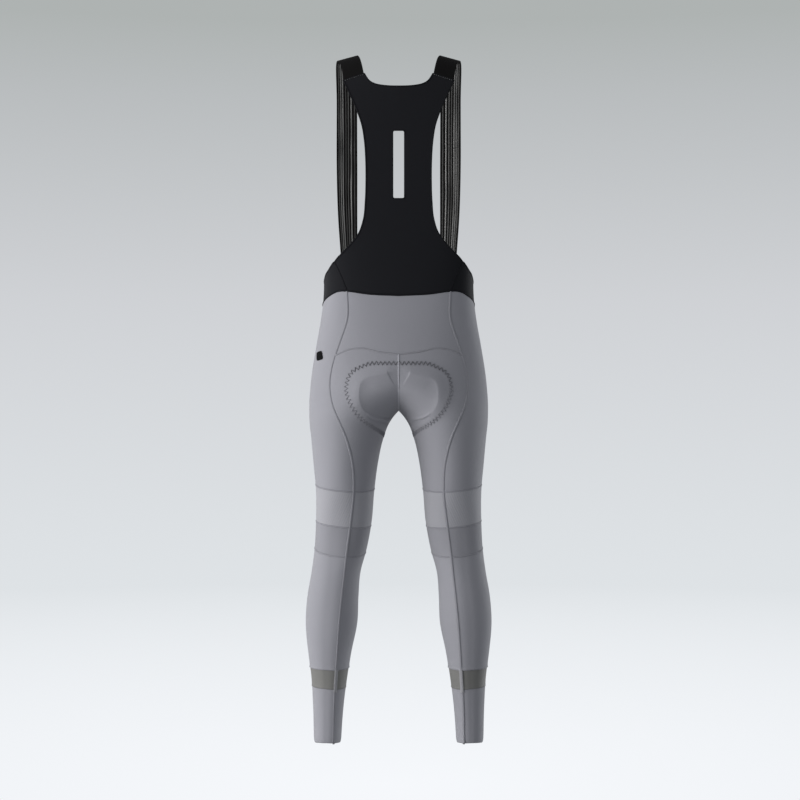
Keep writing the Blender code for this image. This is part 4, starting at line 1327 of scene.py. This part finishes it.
class TIGHTS_OT_straps(bpy.types.Operator):
    """Make the two ribbed shoulder straps"""

    bl_idname = "tights.straps"
    bl_label = "Straps"

    def execute(self, context):
        columns, rows = 96, 190
        net = strap_net(columns, rows)
        way = ways_along(form_point(net).mean(axis=1))
        to_shoulder = (way[-1] - way)[:, None]
        share = np.linspace(1, 0, columns + 1)
        uv = np.stack(np.broadcast_arrays(share * STRAP_WIDTH, to_shoulder), -1)
        groove = np.minimum(np.interp(share, *np.array(sheer_stops()).T) * 2, 1)
        ribbed = smooth_step((to_shoulder - STRAP_PLAIN_END) / STRAP_PLAIN_FADE)
        strap = laid(net, sizes().rib_rise * (1 - groove * ribbed))
        cloth_pair("shoulder_strap_SIDE", "strap_SIDE", strap, "strap elastic", "", uv)
        return {"FINISHED"}


class TIGHTS_OT_upper_legs(bpy.types.Operator):
    """Make the back yoke, the seat panels and the thigh panels"""

    bl_idname = "tights.upper_legs"
    bl_label = "Seat and Thighs"

    def execute(self, context):
        yoke = both_halves(laid(yoke_net(columns=60, rows=40)))
        cloth_piece("back_yoke_panel", "back_yoke", yoke, "tights jersey")
        seat = laid(seat_net(columns=150, rows_below=66, rows_above=110))
        thigh = laid(thigh_net(columns=140, rows_below=60, rows_seat=50, rows_yoke=40))
        cloth_pair("seat_panel_SIDE", "seat_SIDE", seat, "tights jersey", "back_yoke")
        cloth_pair("thigh_panel_SIDE", "thigh_SIDE", thigh, "tights jersey", "bib_front")
        return {"FINISHED"}


class TIGHTS_OT_lower_legs(bpy.types.Operator):
    """Make the knee bands, calves, reflective bands and cuffs"""

    bl_idname = "tights.lower_legs"
    bl_label = "Knees to Cuffs"

    def execute(self, context):
        for piece in LEG_PIECES:
            net = leg_piece_net(piece, columns=110)
            flare = piece.flare * np.exp((net[:1, :, 1] - net[..., 1]) / FLARE_REACH)
            cloth_pair(
                f"{piece.name}_tube_SIDE", f"{piece.name}_SIDE", laid(net, flare),
                piece.finish, f"{piece.upper}_SIDE",
            )
        return {"FINISHED"}


class TIGHTS_OT_pad(bpy.types.Operator):
    """Make the seat pad inside the tights"""

    bl_idname = "tights.pad"
    bl_label = "Seat Pad"

    def execute(self, context):
        points, normals = laid(pad_net(rows=84, columns=40), -(sizes().wall + PAD_GAP))
        rows, columns = points.shape[:2]
        up = np.sin(np.linspace(0, math.pi, rows)) ** PAD_POWER_UP
        over = np.sin(np.linspace(0, math.pi, columns)) ** PAD_POWER_OVER
        thickness = PAD_EDGE + (PAD_CORE - PAD_EDGE) * up[:, None] * over[None, :]
        deeper = points - normals * thickness[..., None]
        outer, inner, way = both_halves((points, deeper, normals))
        if not faces_out(outer, way):
            outer, inner = outer[:, ::-1], inner[:, ::-1]
        mesh = net_mesh("seat_pad_foam", outer, cloth_uv(outer))
        self.close(mesh, outer, inner)
        pad = piece_of("seat_pad_foam", mesh, "pad cloth")
        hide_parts("seat_pad")
        return {"FINISHED"}

    def close(self, mesh, outer, inner):
        """Give the pad its inner side and its edge."""
        starts, ends = outer.reshape(-1, 3).astype(np.float32), inner.reshape(-1, 3)
        drop = {tuple(np.round(start, 6)): end for start, end in zip(starts, ends)}
        with edited(mesh) as pad:
            made = bmesh.ops.extrude_face_region(pad, geom=pad.faces[:], use_keep_orig=True)
            for vertex in made["geom"]:
                if isinstance(vertex, bmesh.types.BMVert):
                    vertex.co = drop[tuple(np.round(np.array(vertex.co, np.float32), 6))]
            bmesh.ops.recalc_face_normals(pad, faces=pad.faces)
            if pad.calc_volume(signed=True) < 0:
                bmesh.ops.reverse_faces(pad, faces=pad.faces)


class TIGHTS_OT_seams(bpy.types.Operator):
    """Make the raised flat seams and bound edges"""

    bl_idname = "tights.seams"
    bl_label = "Seams"

    def execute(self, context):
        self.middle_seams()
        for side, is_left in SIDES:
            self.side_seams(side, is_left)
            self.shoulder_stitches(side, is_left)
        self.slot_edge()
        return {"FINISHED"}

    def middle_seams(self):
        """The seams in the middle plane, and those that cross it."""
        back_z = spread(CROTCH_Z, YOKE_SEAM[0].z, 60)
        front_z = spread(CROTCH_Z, WAIST_SEAM[-1].z, 60)
        yoke = round_seam(YOKE_Z, -90.0, float(back_seam_angle(yoke_end())), 80)
        waist = round_seam(WAIST_Z, -90.0, 90.0, 160)
        front_top = round_seam(BIB_FRONT_Z, 90.0, float(bib_side_angle(BIB_OUTLINE[0].z)), 120)
        neck = along([(point.x, point.z) for point in NECKLINE], 60)
        flat_seam(
            "middle_back_seam", places(-centre_angle(back_z), back_z), 0.8, 1.0, "middle seam"
        )
        flat_seam("middle_front_seam", places(centre_angle(front_z), front_z), 0.7, 0.8)
        flat_seam("yoke_seam", yoke, 0.8, 0.8, both=True)
        flat_seam("waist_seam", waist, 0.9, 1.0, "black seam", both=True)
        bound_edge("front_top_edge", front_top, both=True)
        bound_edge("neck_edge", on_back(*neck.T), both=True)

    def side_seams(self, side, is_left):
        corner_z = waist_corner()[1]
        tail_z = float(leg_seam_z(HEM, leg_seam_start(HEM))) - THREAD_TAIL
        back_z = spread(tail_z, corner_z, 260)
        side_z = spread(corner_z, BIB_OUTLINE[0].z, 20)
        free_z = spread(BIB_OUTLINE[0].z, BIB_OUTLINE[-1].z, 160)
        bib_side = places(bib_side_angle(side_z), side_z)
        armhole = on_back(BIB_OUTLINE_X.first(free_z), free_z)
        back = places(back_seam_angle(back_z), back_z)
        flat_seam(f"back_seam_{side}", back, 1.2, 0.85, is_left=is_left)
        flat_seam(f"inseam_{side}", inseam(60), 0.8, 0.8, is_left=is_left)
        flat_seam(f"bib_side_seam_{side}", bib_side, 0.7, 0.7, "black seam", is_left=is_left)
        bound_edge(f"armhole_edge_{side}", armhole, is_left=is_left)
        for piece in LEG_PIECES:
            ring = leg_ring(piece.top, 0, 360, 120)
            name = f"{piece.name}_top_seam_{side}"
            flat_seam(name, ring, piece.seam, piece.seam, is_left=is_left)

    def shoulder_stitches(self, side, is_left):
        """The seam of a strap on the back panel, with its row of pale stitches."""
        x, z = shoulder_seam(40).T
        name = f"shoulder_seam_{side}"
        flat_seam(name, on_back(x, z), 0.8, 1.0, "black seam", is_left=is_left)
        centre, normals = even_line(laid(on_back(x, z - STITCH_DROP)), STITCH_STEP)
        line = mirrored((centre + normals * STITCH_LIFT, normals), is_left)
        dashes = []
        for start in range(1, len(centre) - 3, 4):
            dash = tuple(part[start:start + 3] for part in line)
            size = (STITCH_HALF_WIDTH, STITCH_RISE)
            dashes.append(tube_piece("stitch", dash, *size, "shoulder stitch", sides=6))
        joined(f"shoulder_stitches_{side}", dashes)

    def slot_edge(self):
        """The narrow binding round the slot in the back panel."""
        half_x = SLOT_HALF_WIDTH - SLOT_CORNER
        half_z = (SLOT_TOP_Z - SLOT_BOTTOM_Z) / 2 - SLOT_CORNER
        middle, reach = (SLOT_TOP_Z + SLOT_BOTTOM_Z) / 2, SLOT_CORNER + SLOT_EDGE_OUT
        line = []
        for quarter, (sx, sz) in enumerate(((1, 1), (-1, 1), (-1, -1), (1, -1))):
            for turn in np.radians(np.linspace(90 * quarter, 90 * quarter + 90, 7)):
                x, z = sx * half_x + reach * math.cos(turn), sz * half_z + reach * math.sin(turn)
                line.append((x, middle + z))
        line = np.array([*line, line[0]])
        flip = np.where(line[:, :1] < 0, MIRROR, 1.0)
        cloth = laid(on_back(np.abs(line[:, 0]), line[:, 1]))
        line = even_line([part * flip for part in cloth], SLOT_EDGE_STEP)
        tube_piece("slot_edge", line, SLOT_EDGE_HALF_WIDTH, SLOT_EDGE_RISE, "black seam")


def joined(name, pieces):
    """One piece from several small ones of the same finish."""
    whole = bmesh.new()
    for piece in pieces:
        whole.from_mesh(piece.data)
    mesh = mesh_from(name, whole)
    mesh.shade_smooth()
    finish = pieces[0].data.materials[0].name
    for piece in pieces:
        old = piece.data
        bpy.data.objects.remove(piece)
        bpy.data.meshes.remove(old)
    return piece_of(name, mesh, finish)


class TIGHTS_OT_pad_stitching(bpy.types.Operator):
    """Make the zigzag stitching that holds the seat pad"""

    bl_idname = "tights.pad_stitching"
    bl_label = "Pad Stitching"

    def execute(self, context):
        net = stitch_line(count=1200)
        length = ways_along(form_point(net))
        teeth = round(length[-1] / sizes().zigzag_pitch)
        net = at_marks(np.linspace(0, length[-1], teeth * ZIGZAG_POINTS + 1), length, net)
        turns = np.linspace(0, teeth * 2 * math.pi, len(net))
        swing = 2 / math.pi * np.arcsin(np.cos(turns) * ZIGZAG_SHARPNESS)
        across = np.cross(form_normal(net), unit(np.gradient(form_point(net), axis=0)))
        across *= swing[:, None] * sizes().zigzag_width / 2
        turn, rise = np.array((1.0, 0.0)), np.array((0.0, 0.001))
        slopes = np.stack([
            (form_point(net + turn) - form_point(net - turn)) / 2,
            (form_point(net + rise) - form_point(net - rise)) / 0.002,
        ], -1)
        moves = zip(slopes, across)
        step = np.array([np.linalg.lstsq(slope, move, rcond=None)[0] for slope, move in moves])
        thread = sizes().thread
        line = both_halves(laid(net + step, thread * ZIGZAG_LIFT), axis=0)
        tube_piece("pad_zigzag", line, thread / 2, thread / 2, "zigzag thread", sides=6)
        return {"FINISHED"}


class TIGHTS_OT_trims(bpy.types.Operator):
    """Make the tapes over the calf bands and the blank hip label"""

    bl_idname = "tights.trims"
    bl_label = "Tapes and Label"

    def execute(self, context):
        wall = sizes().trim_wall
        level = spread(TAPE_BOTTOM_Z, TAPE_TOP_Z, 24)[:, None]
        x = BACK_SEAM_X.first(level) + np.linspace(-TAPE_HALF_WIDTH, TAPE_HALF_WIDTH, 7)
        tape = laid(places(-angle_at_x(x, level), level), TAPE_LIFT + wall)
        for side, is_left in SIDES:
            cloth = mirrored(tape, is_left)
            trim_piece(f"calf_tape_{side}", f"seam_tape_{side}", cloth, "seam tape")
        u, v = np.meshgrid(np.linspace(-1, 1, 21), np.linspace(-1, 1, 25))
        edge = np.maximum(np.abs(u), np.abs(v))
        round_edge = (np.abs(u) ** 5 + np.abs(v) ** 5) ** 0.2
        shrink = np.where(round_edge > 0, edge / np.maximum(round_edge, 1e-9), 1.0)
        u, v = u * shrink, v * shrink
        net = places(
            LABEL_MIDDLE.angle + LABEL_HALF_ANGLE * u + LABEL_LEAN * v,
            LABEL_MIDDLE.z + LABEL_HALF_HEIGHT * v + LABEL_TILT * u,
        )
        label = mirrored(laid(net, LABEL_LIFT + wall), True)
        cloth_piece("hip_label_patch", "hip_label", label, "label satin")
        return {"FINISHED"}


class TIGHTS_OT_studio(bpy.types.Operator):
    """Make the floor, backdrop, lights and camera"""

    bl_idname = "tights.studio"
    bl_label = "Studio"

    def execute(self, context):
        studio = context.scene.tights_studio
        self.backdrop()
        middle = Vector((0.0, 0.0, float((CAD_BOX[0][2] + CAD_BOX[1][2]) / 2)))
        for lamp in LAMPS:
            data = bpy.data.lights.new(lamp.name, "AREA")
            data.energy = getattr(studio, lamp.power)
            data.shape = "DISK"
            data.size = lamp.size
            data.color = lamp.colour
            light = linked(lamp.name, data)
            light.location = lamp.place
            way = middle - Vector(lamp.place)
            light.rotation_euler = way.to_track_quat("-Z", "Y").to_euler()
        world = bpy.data.worlds.new("studio_air")
        world.use_nodes = True
        air = world.node_tree.nodes["Background"]
        air.inputs["Color"].default_value = ROOM_COLOUR
        air.inputs["Strength"].default_value = studio.room
        context.scene.world = world
        context.scene.view_settings.view_transform = "Standard"
        lens = bpy.data.cameras.new("camera")
        lens.sensor_width = 36.0
        lens.lens = lens.sensor_width * studio.distance / studio.view_width
        camera = linked("camera", lens)
        camera.location = (studio.view_shift, -studio.distance, CAMERA_Z)
        camera.rotation_euler = (math.pi / 2, 0.0, 0.0)
        context.scene.camera = camera
        return {"FINISHED"}

    def backdrop(self):
        """A round floor that sweeps up into a wall all round."""
        steps = [(STAGE_RADIUS * k / 4, FLOOR_Z) for k in range(5)]
        for turn in np.radians(np.linspace(10, 90, 9)):
            out, up = STAGE_SWEEP * math.sin(turn), STAGE_SWEEP * (1 - math.cos(turn))
            steps.append((STAGE_RADIUS + out, FLOOR_Z + up))
        steps.append((STAGE_RADIUS + STAGE_SWEEP, FLOOR_Z + STAGE_HEIGHT))
        stage = bmesh.new()
        verts = [stage.verts.new((radius, 0.0, z)) for radius, z in steps]
        edges = [stage.edges.new(ends) for ends in zip(verts, verts[1:])]
        bmesh.ops.spin(
            stage, geom=verts + edges, cent=(0, 0, 0), axis=(0, 0, 1), steps=96,
            angle=2 * math.pi, use_merge=True,
        )
        bmesh.ops.remove_doubles(stage, verts=stage.verts, dist=1e-5)
        bmesh.ops.recalc_face_normals(stage, faces=stage.faces)
        bmesh.ops.reverse_faces(stage, faces=stage.faces)
        mesh = mesh_from("backdrop", stage)
        mesh.shade_smooth()
        mesh.materials.append(self.paper())
        backdrop = linked("backdrop", mesh)
        backdrop.visible_diffuse = False
        backdrop.visible_glossy = False
        backdrop.visible_shadow = False

    def paper(self):
        """Paper that gives its own light, in tones from the floor out and up the wall."""
        bench = NodeBench("backdrop paper")
        x, y, z = bench.spot()
        flat = bench.add("ShaderNodeCombineXYZ", X=x, Y=y)
        radius = bench.add("ShaderNodeVectorMath")
        radius.operation = "LENGTH"
        bench.put(radius.inputs[0], flat.outputs[0])
        out = bench.share_of(radius.outputs["Value"], 0.0, STAGE_RADIUS, FLOOR_SHARE)
        up = bench.share_of(z, FLOOR_Z, RAMP_TOP_Z, WALL_SHARE)
        bench.base((0.0, 0.0, 0.0))
        bench.gloss(1.0, specular=0.0)
        tones = bench.ramp(bench.sum("ADD", out, up), BACKDROP_TONES)
        bench.set(bench.shader, Emission_Color=tones, Emission_Strength=1.0)
        return bench.material


class TIGHTS_PT_sidebar(bpy.types.Panel):
    """Sizes, colours and the steps that build the tights"""

    bl_idname = "TIGHTS_PT_sidebar"
    bl_label = "Cycling Bib Tights"
    bl_space_type = "VIEW_3D"
    bl_region_type = "UI"
    bl_category = "Tights"

    def draw(self, context):
        for name in GROUPS:
            group = getattr(context.scene, name)
            box = self.layout.box()
            for value in group.__annotations__:
                box.prop(group, value)
        for operator in OPERATORS:
            self.layout.operator(operator.bl_idname)


OPERATORS = (
    TIGHTS_OT_bib,
    TIGHTS_OT_straps,
    TIGHTS_OT_upper_legs,
    TIGHTS_OT_lower_legs,
    TIGHTS_OT_pad,
    TIGHTS_OT_seams,
    TIGHTS_OT_pad_stitching,
    TIGHTS_OT_trims,
    TIGHTS_OT_studio,
)
GROUPS = {
    "tights_sizes": TightsSizes,
    "tights_colours": TightsColours,
    "tights_studio": TightsStudio,
}


def register():
    for group in GROUPS.values():
        bpy.utils.register_class(group)
    for name, group in GROUPS.items():
        setattr(bpy.types.Scene, name, bpy.props.PointerProperty(type=group))
    for kind in (*OPERATORS, TIGHTS_PT_sidebar):
        bpy.utils.register_class(kind)


def unregister():
    for kind in (TIGHTS_PT_sidebar, *reversed(OPERATORS)):
        bpy.utils.unregister_class(kind)
    for name in GROUPS:
        delattr(bpy.types.Scene, name)
    for group in reversed(GROUPS.values()):
        bpy.utils.unregister_class(group)


def main():
    register()
    bpy.ops.tights.bib()
    bpy.ops.tights.straps()
    bpy.ops.tights.upper_legs()
    bpy.ops.tights.lower_legs()
    bpy.ops.tights.pad()
    bpy.ops.tights.seams()
    bpy.ops.tights.pad_stitching()
    bpy.ops.tights.trims()
    bpy.ops.tights.studio()


if __name__ == "__main__":
    main()
